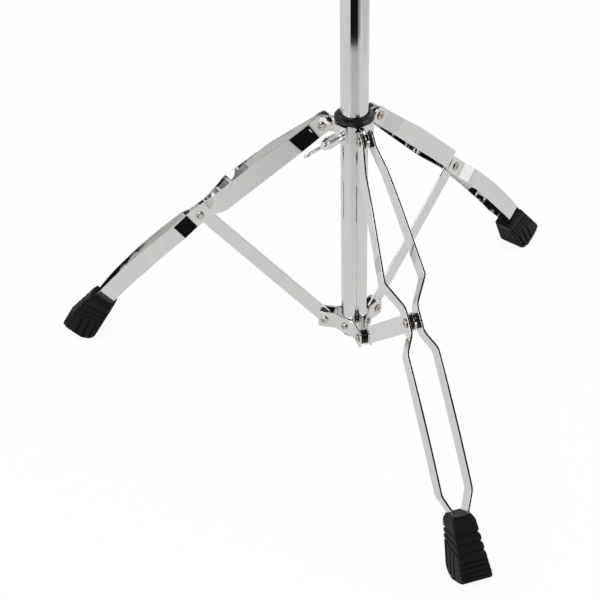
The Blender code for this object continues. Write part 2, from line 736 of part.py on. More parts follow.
def make_collar(frame, shift, materials):
    """Nylon ring, bracket with lugs and boss, all measured from the collar pivots' height."""
    sleeve_bottom = -COLLAR_BELOW_PIVOT - 1 * mm
    flange_bottom = COLLAR_ABOVE_PIVOT + FIT_GAP
    bore = TUBE_RADIUS + FIT_GAP
    ring = [
        (bore, sleeve_bottom),
        (RING_SLEEVE_RADIUS, sleeve_bottom),
        (RING_SLEEVE_RADIUS, flange_bottom),
        (RING_FLANGE_RADIUS, flange_bottom),
        (RING_FLANGE_RADIUS, flange_bottom + 3.4 * mm),
        (RING_FLANGE_RADIUS - 1.8 * mm, flange_bottom + 5 * mm),
        (bore + 1.6 * mm, flange_bottom + RING_FLANGE_HEIGHT),
        (bore, flange_bottom + RING_FLANGE_HEIGHT),
    ]
    ring_object = solid("collar_ring", turned(ring), frame, shift, materials["nylon"])
    inner = RING_SLEEVE_RADIUS + FIT_GAP
    band = [
        (inner, -COLLAR_BELOW_PIVOT),
        (COLLAR_OUTER_RADIUS, -COLLAR_BELOW_PIVOT),
        (COLLAR_OUTER_RADIUS, COLLAR_ABOVE_PIVOT),
        (inner, COLLAR_ABOVE_PIVOT),
    ]
    bracket = solid("collar_bracket", turned(band), frame, shift, materials["chrome"])
    for number in range(3):
        join(bracket, lug_tool(number, frame, shift))
    join(bracket, boss_tool(frame, shift))
    for number in range(3):
        turn = Matrix.Rotation(arm_heading(number), 4, "Z") @ sideways(Vector((PIVOT_RADIUS, 0, 0)))
        tool = cylinder(BUSHING_BARREL_RADIUS + FIT_GAP, -6 * mm, 6 * mm)
        cut(bracket, solid(f"lug_hole_{number}", tool, frame, shift @ turn, None))
    screw = radial(arm_heading(0) + SCREW_HEADING, -SCREW_DROP)
    for target in (bracket, ring_object):
        tool = cylinder(SCREW_RADIUS + FIT_GAP, TUBE_RADIUS - 1 * mm, BOSS_REACH + 4 * mm)
        cut(target, solid(f"{target.name}_screw_hole", tool, frame, shift @ screw, None))


def lug_tool(number, frame, shift):
    """Flat lug that stands out from the collar and rounds off past its pivot."""
    outline = []
    for i in range(9):
        angle = -pi / 2 + pi * i / 8
        outline.append((PIVOT_RADIUS + LUG_END_RADIUS * cos(angle), LUG_END_RADIUS * sin(angle)))
    inner = COLLAR_OUTER_RADIUS - 1 * mm
    outline += [(inner, LUG_END_RADIUS), (inner, -LUG_END_RADIUS)]
    body = prism(outline, -LUG_THICKNESS / 2, LUG_THICKNESS / 2)
    upright = Matrix.Rotation(arm_heading(number), 4, "Z") @ Matrix.Rotation(pi / 2, 4, "X")
    return solid(f"collar_lug_{number}", body, frame, shift @ upright, None)


def boss_tool(frame, shift):
    """Flat-faced boss that the locking screw runs through."""
    outline = [
        (RING_SLEEVE_RADIUS + FIT_GAP + 0.9 * mm, -BOSS_HALF_WIDTH),
        (BOSS_REACH, -BOSS_HALF_WIDTH),
        (BOSS_REACH, BOSS_HALF_WIDTH),
        (RING_SLEEVE_RADIUS + FIT_GAP + 0.9 * mm, BOSS_HALF_WIDTH),
    ]
    turn = Matrix.Rotation(arm_heading(0) + SCREW_HEADING, 4, "Z")
    return solid("collar_boss", prism(outline, BOSS_BOTTOM, BOSS_TOP), frame, shift @ turn, None)


def wing_outline(side):
    """Leaf-shaped wing that sweeps up and out from the hub."""
    points = [(3 * mm, WING_ROOT_LOW), (9 * mm, WING_ROOT_LOW + 4 * mm)]
    for i in range(7):
        angle = radians(-40 + 190 * i / 6)
        tip_x = WING_TIP[0] + WING_TIP_RADIUS * cos(angle)
        tip_y = WING_TIP[1] + WING_TIP_RADIUS * sin(angle)
        points.append((tip_x, tip_y))
    points += [(HUB_RADIUS, WING_ROOT_LOW + 15 * mm), (3 * mm, WING_ROOT_LOW + 13 * mm)]
    return [(side * x, y) for x, y in points]


def wing_screw(name, frame, matrix, tip, face, material):
    """Threaded shank, hub and two wings. Z runs outwards, from the tip past the face it bears on."""
    profile = [
        (POLE_RADIUS, tip),
        (SCREW_RADIUS - 0.6 * mm, tip),
        (SCREW_RADIUS, tip + 0.8 * mm),
        (SCREW_RADIUS, face),
        (HUB_RADIUS - 1 * mm, face),
        (HUB_RADIUS, face + HUB_LENGTH * 0.75),
        (HUB_RADIUS - 1.6 * mm, face + HUB_LENGTH),
        (POLE_RADIUS, face + HUB_LENGTH + 0.8 * mm),
    ]
    screw = solid(name, turned(profile, SMALL_STEPS), frame, matrix, material)
    for number, side in enumerate((1, -1)):
        body = prism(wing_outline(side), -WING_THICKNESS / 2, WING_THICKNESS / 2)
        stand = Matrix.Translation((0, 0, face)) @ Matrix.Rotation(pi / 2, 4, "X")
        join(screw, solid(f"{name}_wing_{number}", body, frame, matrix @ stand, None))
    return screw


def make_arm(number, axis, materials):
    """Leg, stay, foot and pivots of one arm, each on the frame of the joint it turns on."""
    name = ARM_NAMES[number]
    arm = empty(f"arm_{name}", axis, Matrix.Rotation(arm_heading(number), 4, "Z"))
    leg_hinge = LINK_LENGTH if number == 0 else 0
    stay_hinge = 0 if number == 0 else LINK_LENGTH
    collar_place = Matrix.Translation((PIVOT_RADIUS, 0, collar_height)) @ leg_tilt
    lower_place = Matrix.Translation((PIVOT_RADIUS, 0, lower_height)) @ leg_tilt.inverted()
    leg_frame = empty(f"leg_{name}_axis", arm, collar_place @ Matrix.Translation((leg_hinge, 0, 0)))
    stay_frame = empty(f"stay_{name}_axis", arm, lower_place @ Matrix.Translation((stay_hinge, 0, 0)))
    leg_shift = Matrix.Translation((-leg_hinge, 0, 0))
    stay_shift = Matrix.Translation((-stay_hinge, 0, 0))
    for side, label in ((1, "a"), (-1, "b")):
        leg_strip(f"leg_{name}_strip_{label}", leg_frame, leg_shift, side, materials["chrome"])
    rubber_foot(f"foot_{name}", leg_frame, leg_shift, materials["rubber"])
    middle = leg_shift @ Vector((LINK_LENGTH, 0, 0))
    rivet(f"middle_rivet_{name}", leg_frame, middle, PINCHED_REACH, materials["nickel"])
    stay(f"stay_{name}", stay_frame, stay_shift, materials["chrome"])
    inner = PINCHED_REACH - STRIP_THICKNESS - FIT_GAP
    core = STAY_THICKNESS / 2
    pivot_bushing(f"middle_bushing_{name}", leg_frame, middle, core, inner, materials["nylon"])
    low = Vector((PIVOT_RADIUS, 0, lower_height))
    rivet(f"lower_rivet_{name}", arm, low, EAR_REACH, materials["nickel"])
    ear_inner = EAR_REACH - PLATE_THICKNESS - FIT_GAP
    pivot_bushing(f"lower_bushing_{name}", arm, low, core, ear_inner, materials["nylon"])
    high = Vector((PIVOT_RADIUS, 0, collar_height))
    rivet(f"collar_rivet_{name}", arm, high, PINCHED_REACH, materials["nickel"])
    pivot_bushing(f"collar_bushing_{name}", arm, high, LUG_THICKNESS / 2, inner, materials["nylon"])


def make_collar_group(axis, materials):
    """The collar turns on the front leg's top pivot, so its frame sits there."""
    pivot = Matrix.Rotation(arm_heading(0), 4, "Z") @ Vector((PIVOT_RADIUS, 0, 0))
    frame = empty("collar_axis", axis, Matrix.Translation((pivot.x, pivot.y, collar_height)))
    shift = Matrix.Translation((-pivot.x, -pivot.y, 0))
    make_collar(frame, shift, materials)
    outward = shift @ radial(arm_heading(0) + SCREW_HEADING, -SCREW_DROP)
    matrix = outward @ Matrix.Rotation(COLLAR_SCREW_TURN, 4, "Z")
    tip = TUBE_RADIUS + FIT_GAP
    wing_screw("collar_wing_screw", frame, matrix, tip, BOSS_REACH + FIT_GAP, materials["chrome"])


def make_clamp(axis, materials):
    """Cast clamp on the rim of the lower tube, with a nylon insert that the upper tube slides in."""
    low = tube_rim - CLAMP_BELOW_RIM
    step = tube_rim + INSERT_FLANGE_HEIGHT + 2 * FIT_GAP
    wide = TUBE_RADIUS + FIT_GAP
    narrow = UPPER_TUBE_RADIUS + FIT_GAP
    profile = [
        (wide, low),
        (CLAMP_OUTER_RADIUS - 1 * mm, low),
        (CLAMP_OUTER_RADIUS, low + 1 * mm),
        (CLAMP_OUTER_RADIUS, clamp_top - 3 * mm),
        (CLAMP_OUTER_RADIUS - 2 * mm, clamp_top),
        (narrow, clamp_top),
        (narrow, step),
        (wide, step),
    ]
    clamp = solid("height_clamp", turned(profile), axis, Matrix(), materials["chrome"])
    screw_height = tube_rim + INSERT_FLANGE_HEIGHT + 5.5 * mm
    turn = radial(arm_heading(1), screw_height)
    face = CLAMP_OUTER_RADIUS + CLAMP_BOSS_LENGTH
    boss = cylinder(CLAMP_BOSS_RADIUS, CLAMP_OUTER_RADIUS - 3 * mm, face)
    join(clamp, solid("clamp_boss", boss, axis, turn, None))
    hole = cylinder(SCREW_RADIUS + FIT_GAP, narrow - 2 * mm, face + 3 * mm)
    cut(clamp, solid("clamp_screw_hole", hole, axis, turn, None))
    wing_screw("clamp_wing_screw", axis, turn, narrow, face + FIT_GAP, materials["chrome"])
    inner_wall = TUBE_RADIUS - TUBE_WALL - FIT_GAP
    flange = tube_rim + FIT_GAP
    insert = [
        (narrow, flange - INSERT_DEPTH),
        (inner_wall, flange - INSERT_DEPTH),
        (inner_wall, flange),
        (TUBE_RADIUS - 0.2 * mm, flange),
        (TUBE_RADIUS - 0.2 * mm, flange + INSERT_FLANGE_HEIGHT),
        (narrow, flange + INSERT_FLANGE_HEIGHT),
    ]
    solid("clamp_insert", turned(insert, HIDDEN_STEPS), axis, Matrix(), materials["nylon"])


def make_upper_tube(axis, materials):
    low = tube_rim - UPPER_TUBE_OVERLAP
    inner = UPPER_TUBE_RADIUS - UPPER_TUBE_WALL
    profile = [
        (inner, low),
        (UPPER_TUBE_RADIUS, low),
        (UPPER_TUBE_RADIUS, upper_tube_top),
        (inner, upper_tube_top),
    ]
    solid("upper_tube", turned(profile), axis, Matrix(), materials["chrome"])
    seat = clamp_top + FIT_GAP
    bore = UPPER_TUBE_RADIUS + FIT_GAP
    lock = [
        (bore, seat),
        (LOCK_RADIUS - 0.8 * mm, seat),
        (LOCK_RADIUS, seat + 0.8 * mm),
        (LOCK_RADIUS, seat + LOCK_HEIGHT - 0.8 * mm),
        (LOCK_RADIUS - 0.8 * mm, seat + LOCK_HEIGHT),
        (bore, seat + LOCK_HEIGHT),
    ]
    ring = solid("memory_lock", turned(lock), axis, Matrix(), materials["chrome"])
    turn = radial(arm_heading(2), seat + LOCK_HEIGHT / 2)
    hole = cylinder(SCREW_RADIUS + FIT_GAP, bore - 2 * mm, LOCK_RADIUS + 3 * mm)
    cut(ring, solid("lock_hole", hole, axis, turn, None))
    head = LOCK_RADIUS + FIT_GAP
    screw = [
        (POLE_RADIUS, bore),
        (SCREW_RADIUS, bore),
        (SCREW_RADIUS, head),
        (LOCK_SCREW_HEAD_RADIUS, head),
        (LOCK_SCREW_HEAD_RADIUS, head + 2 * mm),
        (LOCK_SCREW_HEAD_RADIUS - 1 * mm, head + 2.6 * mm),
        (POLE_RADIUS, head + 2.6 * mm),
    ]
    body = solid("memory_lock_screw", turned(screw, SMALL_STEPS), axis, turn, materials["nickel"])
    square = rounded_rectangle(LOCK_KEY_SIZE, LOCK_KEY_SIZE, 0.5 * mm, 2)
    key = prism(square, head + 1 * mm, head + LOCK_KEY_REACH)
    join(body, solid("memory_lock_key", key, axis, turn, None))


def cheek_outline(rise, width, steps=8):
    """Upright cheek with a round top about the tilt axis."""
    points = [(-width / 2, -rise)]
    points.append((width / 2, -rise))
    for i in range(steps + 1):
        angle = pi * i / steps
        points.append((TILTER_ROUND * cos(angle), TILTER_ROUND * sin(angle)))
    return points


def across_stand(body):
    """Turn a prism drawn in (x, y) so that it stands upright and faces along X."""
    turn = Matrix.Rotation(pi / 2, 4, "Z") @ Matrix.Rotation(pi / 2, 4, "X")
    bmesh.ops.transform(body, matrix=turn, verts=body.verts)
    return body


def make_tilter(axis, materials):
    frame = empty("tilt_axis", axis, Matrix.Translation((0, 0, tilt_height)))
    make_tilter_base(frame, materials)
    make_tilter_head(frame, materials)
    make_tilter_bolt(frame, materials)
    make_pad_plate(frame, materials)


def make_tilter_base(frame, materials):
    """Cast socket on the upper tube with two cheeks."""
    socket_top = -TILTER_AXIS_ABOVE_TUBE + 6 * mm
    socket_low = -TILTER_AXIS_ABOVE_TUBE - TILTER_SOCKET_DEPTH
    bore = UPPER_TUBE_RADIUS + FIT_GAP
    profile = [
        (POLE_RADIUS, socket_top),
        (TILTER_SOCKET_RADIUS - 1.5 * mm, socket_top),
        (TILTER_SOCKET_RADIUS, socket_top - 1.5 * mm),
        (TILTER_SOCKET_RADIUS, socket_low),
        (POLE_RADIUS, socket_low),
    ]
    base = solid("tilter_base", turned(profile), frame, Matrix(), materials["chrome"])
    for side in (1, -1):
        inner = TILTER_TONGUE / 2 + FIT_GAP
        outline = cheek_outline(-socket_top + 3 * mm, 2 * TILTER_ROUND)
        cheek = across_stand(prism(outline, inner, inner + TILTER_CHEEK))
        if side < 0:
            bmesh.ops.scale(cheek, vec=(-1, 1, 1), verts=cheek.verts)
        join(base, solid(f"tilter_cheek_{side}", cheek, frame, Matrix(), None))
    hole = cylinder(bore, socket_low - 2 * mm, -TILTER_AXIS_ABOVE_TUBE + FIT_GAP, ROUND_STEPS)
    cut(base, solid("tilter_socket", hole, frame, Matrix(), None))
    cut(base, tilt_hole("tilter_base_hole", frame))


def tilt_hole(name, frame):
    turn = Matrix.Rotation(pi / 2, 4, "Y")
    return solid(name, cylinder(SCREW_RADIUS + FIT_GAP, -30 * mm, 30 * mm), frame, turn, None)


def make_tilter_head(frame, materials):
    """Tongue between the cheeks with a flat top that carries the pad plate."""
    top = TILTER_HEAD_RISE
    half = TILTER_TONGUE / 2
    outline = []
    for i in range(9):
        angle = pi + pi * i / 8
        outline.append((TILTER_ROUND * cos(angle), TILTER_ROUND * sin(angle)))
    shoulder = top - TILTER_HEAD_THICKNESS / 2
    outline += [(TILTER_ROUND, shoulder), (-TILTER_ROUND, shoulder)]
    tongue = across_stand(prism(outline, -half, half))
    head = solid("tilter_head", tongue, frame, Matrix(), materials["chrome"])
    outline = rounded_rectangle(TILTER_HEAD_WIDTH, TILTER_HEAD_DEPTH, TILTER_HEAD_CORNER)
    flange = prism(outline, top - TILTER_HEAD_THICKNESS, top)
    join(head, solid("tilter_flange", flange, frame, Matrix(), None))
    cut(head, tilt_hole("tilter_head_hole", frame))
    for number, side in enumerate((1, -1)):
        place = Matrix.Translation((side * PAD_SCREW_SPACING / 2, 0, 0))
        low = top - TILTER_HEAD_THICKNESS - 2 * mm
        hole = cylinder(PAD_SCREW_RADIUS + FIT_GAP, low, top + 2 * mm)
        cut(head, solid(f"tilter_screw_hole_{number}", hole, frame, place, None))


def make_tilter_bolt(frame, materials):
    """Bolt through the cheeks and the wing nut on its end."""
    face = TILTER_TONGUE / 2 + TILTER_CHEEK + 2 * FIT_GAP
    turn = Matrix.Rotation(pi / 2, 4, "Y")
    profile = [
        (POLE_RADIUS, -face - 4 * mm),
        (TILT_BOLT_HEAD_RADIUS - 1 * mm, -face - 4 * mm),
        (TILT_BOLT_HEAD_RADIUS, -face - 3 * mm),
        (TILT_BOLT_HEAD_RADIUS, -face),
        (SCREW_RADIUS, -face),
        (SCREW_RADIUS, face + 8 * mm),
        (POLE_RADIUS, face + 8 * mm),
    ]
    solid("tilter_bolt", turned(profile, SMALL_STEPS), frame, turn, materials["nickel"])
    nut = [
        (SCREW_RADIUS + FIT_GAP, face),
        (HUB_RADIUS + 0.6 * mm, face),
        (HUB_RADIUS + 0.6 * mm, face + 3 * mm),
        (HUB_RADIUS - 0.4 * mm, face + TILT_NUT_LENGTH),
        (SCREW_RADIUS + FIT_GAP, face + TILT_NUT_LENGTH),
    ]
    wing_nut = solid("tilter_wing_nut", turned(nut, SMALL_STEPS), frame, turn, materials["chrome"])
    for number, side in enumerate((1, -1)):
        outline = [(x + side * 3 * mm, y) for x, y in wing_outline(side)]
        body = prism(outline, -WING_THICKNESS / 2, WING_THICKNESS / 2)
        stand = turn @ Matrix.Translation((0, 0, face)) @ Matrix.Rotation(pi / 2, 4, "X")
        join(wing_nut, solid(f"tilter_nut_wing_{number}", body, frame, stand, None))


def make_pad_plate(frame, materials):
    """Rounded plate with four slots for the pad's own screws."""
    low = TILTER_HEAD_RISE + FIT_GAP
    high = low + PAD_PLATE_THICKNESS
    outline = rounded_rectangle(PAD_PLATE_WIDTH, PAD_PLATE_DEPTH, PAD_PLATE_CORNER)
    plate = solid("pad_plate", prism(outline, low, high), frame, Matrix(), materials["paint"])
    for number in range(4):
        x = PAD_SLOT_SPACING[0] / 2 * (1, -1, -1, 1)[number]
        y = PAD_SLOT_SPACING[1] / 2 * (1, 1, -1, -1)[number]
        outline = rounded_rectangle(*PAD_SLOT_SIZE, PAD_SLOT_SIZE[1] / 2 - 0.01 * mm, 3)
        slot = prism(outline, low - 2 * mm, high + 2 * mm)
        cut(plate, solid(f"pad_slot_{number}", slot, frame, Matrix.Translation((x, y, 0)), None))
    for number, side in enumerate((1, -1)):
        place = Matrix.Translation((side * PAD_SCREW_SPACING / 2, 0, 0))
        sink = [
            (POLE_RADIUS, low - 2 * mm),
            (PAD_SCREW_RADIUS + FIT_GAP, low - 2 * mm),
            (PAD_SCREW_RADIUS + FIT_GAP, high - 2.3 * mm),
            (PAD_SCREW_HEAD_RADIUS + 0.7 * mm, high + 0.3 * mm),
            (PAD_SCREW_HEAD_RADIUS + 0.7 * mm, high + 2 * mm),
            (POLE_RADIUS, high + 2 * mm),
        ]
        cut(plate, solid(f"pad_screw_sink_{number}", turned(sink, SMALL_STEPS), frame, place, None))
        screw = [
            (POLE_RADIUS, TILTER_HEAD_RISE - TILTER_HEAD_THICKNESS),
            (PAD_SCREW_RADIUS, TILTER_HEAD_RISE - TILTER_HEAD_THICKNESS),
            (PAD_SCREW_RADIUS, high - 2.2 * mm),
            (PAD_SCREW_HEAD_RADIUS, high - 0.1 * mm),
            (POLE_RADIUS, high - 0.1 * mm),
        ]
        label = ("right", "left")[number]
        solid(f"pad_plate_screw_{label}", turned(screw, SMALL_STEPS), frame, place, materials["nickel"])


def make_stand():
    clear_scene()
    materials = {
        "chrome": chrome(),
        "nickel": nickel(),
        "nylon": black_nylon(),
        "rubber": black_rubber(),
        "paint": black_paint(),
    }
    axis = empty("stand_axis", None, Matrix.Translation((0, footprint_shift(), 0)))
    make_lower_tube(axis, materials["chrome"])
    make_tube_plug(axis, materials["nylon"])
    make_lower_bracket(axis, materials["chrome"], materials["nickel"])
    for number in range(3):
        make_arm(number, axis, materials)
    make_collar_group(axis, materials)
    make_clamp(axis, materials)
    make_upper_tube(axis, materials)
    make_tilter(axis, materials)


def footprint_shift():
    """How far behind the middle of its footprint the tube stands."""
    ankle_radius = PIVOT_RADIUS + ankle_from_collar.x
    corners = []
    for station in foot_stations():
        for point in foot_section(*station):
            corners.append(Vector((ankle_radius + point.x, point.y, 0)))
    reaches = []
    for number in range(3):
        turn = Matrix.Rotation(arm_heading(number), 4, "Z")
        reaches += [(turn @ corner).y for corner in corners]
    return -(max(reaches) + min(reaches)) / 2


make_stand()
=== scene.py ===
import bpy
import bmesh
from math import cos, degrees, pi, radians, sin, sqrt, tan
from mathutils import Matrix, Vector


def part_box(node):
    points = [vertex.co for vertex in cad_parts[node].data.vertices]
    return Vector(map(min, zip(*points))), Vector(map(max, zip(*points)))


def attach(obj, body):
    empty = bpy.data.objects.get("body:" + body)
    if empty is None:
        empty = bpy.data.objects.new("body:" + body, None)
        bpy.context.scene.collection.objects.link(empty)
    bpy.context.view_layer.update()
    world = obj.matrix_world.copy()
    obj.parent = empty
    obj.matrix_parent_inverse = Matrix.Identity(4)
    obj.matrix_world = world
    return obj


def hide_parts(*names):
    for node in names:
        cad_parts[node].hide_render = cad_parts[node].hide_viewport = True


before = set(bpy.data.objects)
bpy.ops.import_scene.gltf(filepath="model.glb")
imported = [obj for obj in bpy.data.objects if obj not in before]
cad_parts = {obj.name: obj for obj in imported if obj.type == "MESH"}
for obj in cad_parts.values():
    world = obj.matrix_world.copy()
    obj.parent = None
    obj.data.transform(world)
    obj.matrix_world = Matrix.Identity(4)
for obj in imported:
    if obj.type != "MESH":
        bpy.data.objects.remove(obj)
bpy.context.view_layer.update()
mm = 0.001
print("frame loaded:", len(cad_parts), "nodes")


# Shader maths as plain expressions: a wire is one output socket
rampStart = 0.02


class Wire:
    def __init__(self, tree, socket):
        self.tree = tree
        self.socket = socket

    def math(self, operation, *values):
        node = self.tree.nodes.new("ShaderNodeMath")
        node.operation = operation
        for place, value in zip(node.inputs, values):
            if isinstance(value, Wire):
                self.tree.links.new(value.socket, place)
            else:
                place.default_value = value
        return Wire(self.tree, node.outputs[0])

    def __add__(self, other):
        return self.math("ADD", self, other)

    def __radd__(self, other):
        return self.math("ADD", other, self)

    def __sub__(self, other):
        return self.math("SUBTRACT", self, other)

    def __rsub__(self, other):
        return self.math("SUBTRACT", other, self)

    def __mul__(self, other):
        return self.math("MULTIPLY", self, other)

    def __rmul__(self, other):
        return self.math("MULTIPLY", other, self)

    def __truediv__(self, other):
        return self.math("DIVIDE", self, other)

    def __pow__(self, other):
        return self.math("POWER", self, other)

    def above(self, edge, soft):  # 0 below the edge and 1 above it, with a ramp between
        rise = (self - (edge - soft)) / (2 * soft)
        started = rise.math("SMOOTH_MAX", rise, 0.0, rampStart)
        return started.math("MINIMUM", started, 1.0)

    def between(self, low, high, soft):
        return self.above(low, soft) * (1 - self.above(high, soft))


# One node tree, which hands out nodes and wires
class Paint:
    def __init__(self, tree):
        self.tree = tree

    def add(self, kind, settings=None, values=None):
        node = self.tree.nodes.new(kind)
        for name, value in (settings or {}).items():
            setattr(node, name, value)
        for name, value in (values or {}).items():
            if isinstance(value, Wire):
                self.tree.links.new(value.socket, node.inputs[name])
            else:
                node.inputs[name].default_value = value
        return node

    def out(self, node, name=0):
        return Wire(self.tree, node.outputs[name])

    def noise(self, scale, detail):
        where = self.out(self.add("ShaderNodeTexCoord"), "Object")
        values = {"Vector": where, "Scale": scale, "Detail": detail}
        return self.out(self.add("ShaderNodeTexNoise", values=values), "Fac")

    def bump(self, height, strength, distance):
        values = {"Height": height, "Strength": strength, "Distance": distance}
        return self.out(self.add("ShaderNodeBump", values=values))

    def mix(self, factor, first, second):
        node = self.add("ShaderNodeMix", {"data_type": "RGBA"}, {"Factor": factor})
        sockets = [socket for socket in node.inputs if socket.type == "RGBA"]
        for socket, value in zip(sockets, (first, second)):
            if isinstance(value, Wire):
                self.tree.links.new(value.socket, socket)
            else:
                socket.default_value = (*value, 1)
        mixed = [socket for socket in node.outputs if socket.type == "RGBA"]
        return Wire(self.tree, mixed[0])


def newMaterial(name):
    made = bpy.data.materials.new(name)
    made.use_nodes = True
    paint = Paint(made.node_tree)
    shader = made.node_tree.nodes["Principled BSDF"]

    def feed(socket, value):
        if isinstance(value, Wire):
            made.node_tree.links.new(value.socket, shader.inputs[socket])
        elif isinstance(value, tuple):
            shader.inputs[socket].default_value = (*value, 1)
        else:
            shader.inputs[socket].default_value = value

    return made, paint, feed


# Finishes. Cloud, grain, speck and wave are noises, each with its cells a metre and its detail.
# Clouds and specks tint the colour, clouds and grain roughen it, grain or waves make the bump.
chromeLook = {
    "colour": (0.80, 0.80, 0.79),
    "tint": (0.72, 0.73, 0.74),
    "tintShare": 0.5,
    "metallic": 1.0,
    "roughness": 0.02,
    "cloudRough": 0.03,
    "grainRough": 0.02,
    "cloud": (38, 4),
    "cloudEdge": (0.6, 0.12),
    "grain": (420, 2),
    "wave": (16, 1),
    "waveGrain": 0.004,
    "bump": (0.12, 0.4 * mm),
}
castLook = {
    **chromeLook,
    "colour": (0.93, 0.92, 0.90),
    "tint": (0.82, 0.82, 0.81),
    "roughness": 0.28,
    "cloudRough": 0.06,
    "bump": (0.1, 0.4 * mm),
}
nickelLook = {
    "colour": (0.72, 0.64, 0.56),
    "tint": (0.56, 0.51, 0.46),
    "tintShare": 1.0,
    "metallic": 1.0,
    "roughness": 0.14,
    "grainRough": 0.16,
    "cloud": (160, 3),
    "grain": (900, 2),
    "bump": (0.25, 0.1 * mm),
}
nylonLook = {
    "colour": (0.005, 0.0045, 0.006),
    "tint": (0.014, 0.013, 0.016),
    "tintShare": 0.6,
    "gloss": 0.4,
    "roughness": 0.16,
    "cloudRough": 0.14,
    "cloud": (60, 3),
    "grain": (1400, 2),
    "bump": (0.2, 0.1 * mm),
}
rubberLook = {
    "colour": (0.0035, 0.0035, 0.0038),
    "tint": (0.012, 0.012, 0.012),
    "tintShare": 0.35,
    "gloss": 0.16,
    "roughness": 0.42,
    "cloudRough": 0.2,
    "cloud": (45, 4),
    "grain": (1100, 3),
    "speck": (300, 2),
    "speckEdge": (0.68, 0.05),
    "speckShare": 0.3,
    "bump": (0.45, 0.25 * mm),
}
powderLook = {
    "colour": (0.022, 0.022, 0.024),
    "tint": (0.05, 0.05, 0.052),
    "tintShare": 0.3,
    "roughness": 0.38,
    "grainRough": 0.15,
    "cloud": (24, 3),
    "grain": (520, 2),
    "bump": (0.5, 0.2 * mm),
}


def finishFrom(name, look):
    made, paint, feed = newMaterial(name)
    cloud = paint.noise(*look["cloud"])
    if "cloudEdge" in look:
        cloud = cloud.above(*look["cloudEdge"])
    grain = paint.noise(*look["grain"])
    tint = cloud * look["tintShare"]
    if "speck" in look:
        tint = tint + paint.noise(*look["speck"]).above(*look["speckEdge"]) * look["speckShare"]
    height = grain
    if "wave" in look:
        height = paint.noise(*look["wave"]) + grain * look["waveGrain"]
    rough = cloud * look.get("cloudRough", 0) + grain * look.get("grainRough", 0)
    feed("Base Color", paint.mix(tint, look["colour"], look["tint"]))
    feed("Metallic", look.get("metallic", 0.0))
    feed("Roughness", rough + look["roughness"])
    feed("Specular IOR Level", look.get("gloss", 0.5))
    feed("Normal", paint.bump(height, *look["bump"]))
    return made


finishes = {
    "chrome": finishFrom("polishedChrome", chromeLook),
    "nickel": finishFrom("rivetNickel", nickelLook),
    "black_nylon": finishFrom("mouldedNylon", nylonLook),
    "black_rubber": finishFrom("rubber", rubberLook),
    "black_paint": finishFrom("powderCoat", powderLook),
}
castChrome = finishFrom("castChrome", castLook)
print("finishes made")


# Where things are, read from the frame
tubeLow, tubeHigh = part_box("lower_tube")
stand = {
    "x": (tubeLow.x + tubeHigh.x) / 2,
    "y": (tubeLow.y + tubeHigh.y) / 2,
    "radius": (tubeHigh.x - tubeLow.x) / 2,
    "bottom": tubeLow.z,
    "rim": tubeHigh.z,
    "arms": ("front", "right", "left"),
    "frontHeading": radians(-90),
    "armSpread": radians(120),
    "fitGap": 0.3 * mm,
}
# The folding geometry: an arm's three pivots are a triangle with two equal sides
link = {
    "pivotRadius": 33 * mm,
    "length": 186.5 * mm,
    "slope": radians(42.3),
    "belowPivot": 12 * mm,
}
link["rise"] = link["length"] * sin(link["slope"])
lowerHeight = stand["bottom"] + link["belowPivot"]
middleHeight = lowerHeight + link["rise"]
collarHeight = middleHeight + link["rise"]
standPlace = Matrix.Translation((stand["x"], stand["y"], 0))


def armHeading(number):
    return stand["frontHeading"] + number * stand["armSpread"]


def armTurn(number):
    return Matrix.Rotation(armHeading(number), 4, "Z")


def armPlace(number, out=0.0, height=0.0):
    return standPlace @ armTurn(number) @ Matrix.Translation((out, 0, height))


def acrossArm(number, out, height):  # Z runs sideways through the arm
    return armPlace(number, out, height) @ Matrix.Rotation(-pi / 2, 4, "X")


def outwards(heading, height):  # Z runs away from the tube
    turn = Matrix.Rotation(heading, 4, "Z") @ Matrix.Rotation(pi / 2, 4, "Y")
    return standPlace @ Matrix.Translation((0, 0, height)) @ turn


# Mesh helpers
axis = 0.1 * mm  # radius of the flat middle of a turned solid
straight = radians(88)  # half the angle of a corner that needs no arc
sideShare = 0.49  # of a side's length that an arc may take at each end


def loft(sections, loop=False):
    bm = bmesh.new()
    rings = [[bm.verts.new(point) for point in section] for section in sections]
    pairs = list(zip(rings, rings[1:]))
    if loop:
        pairs.append((rings[-1], rings[0]))
    for first, second in pairs:
        for i in range(len(first)):
            j = (i + 1) % len(first)
            bm.faces.new((first[i], first[j], second[j], second[i]))
    if not loop:
        bm.faces.new(rings[0])
        bm.faces.new(rings[-1])
    return bm


# A polyline with an arc at each corner, no larger than its sides allow
def roundCorners(points, radius, steps=4, closed=True):
    count = len(points)
    made = []
    for i, corner in enumerate(points):
        corner = Vector(corner)
        if not closed and i in (0, count - 1):
            made.append(corner)
            continue
        before = Vector(points[i - 1]) - corner
        after = Vector(points[(i + 1) % count]) - corner
        half = before.angle(after) / 2
        if half > straight:
            made.append(corner)
            continue
        setback = min(radius / tan(half), before.length * sideShare, after.length * sideShare)
        inwards = (before.normalized() + after.normalized()).normalized()
        centre = corner + inwards * (setback * tan(half) / sin(half))
        start = corner + before.normalized() * setback - centre
        end = corner + after.normalized() * setback - centre
        sweep = start.angle(end)
        for step in range(steps + 1):
            part = step / steps
            arm = start * sin((1 - part) * sweep) + end * sin(part * sweep)
            made.append(centre + arm / sin(sweep))
    return made


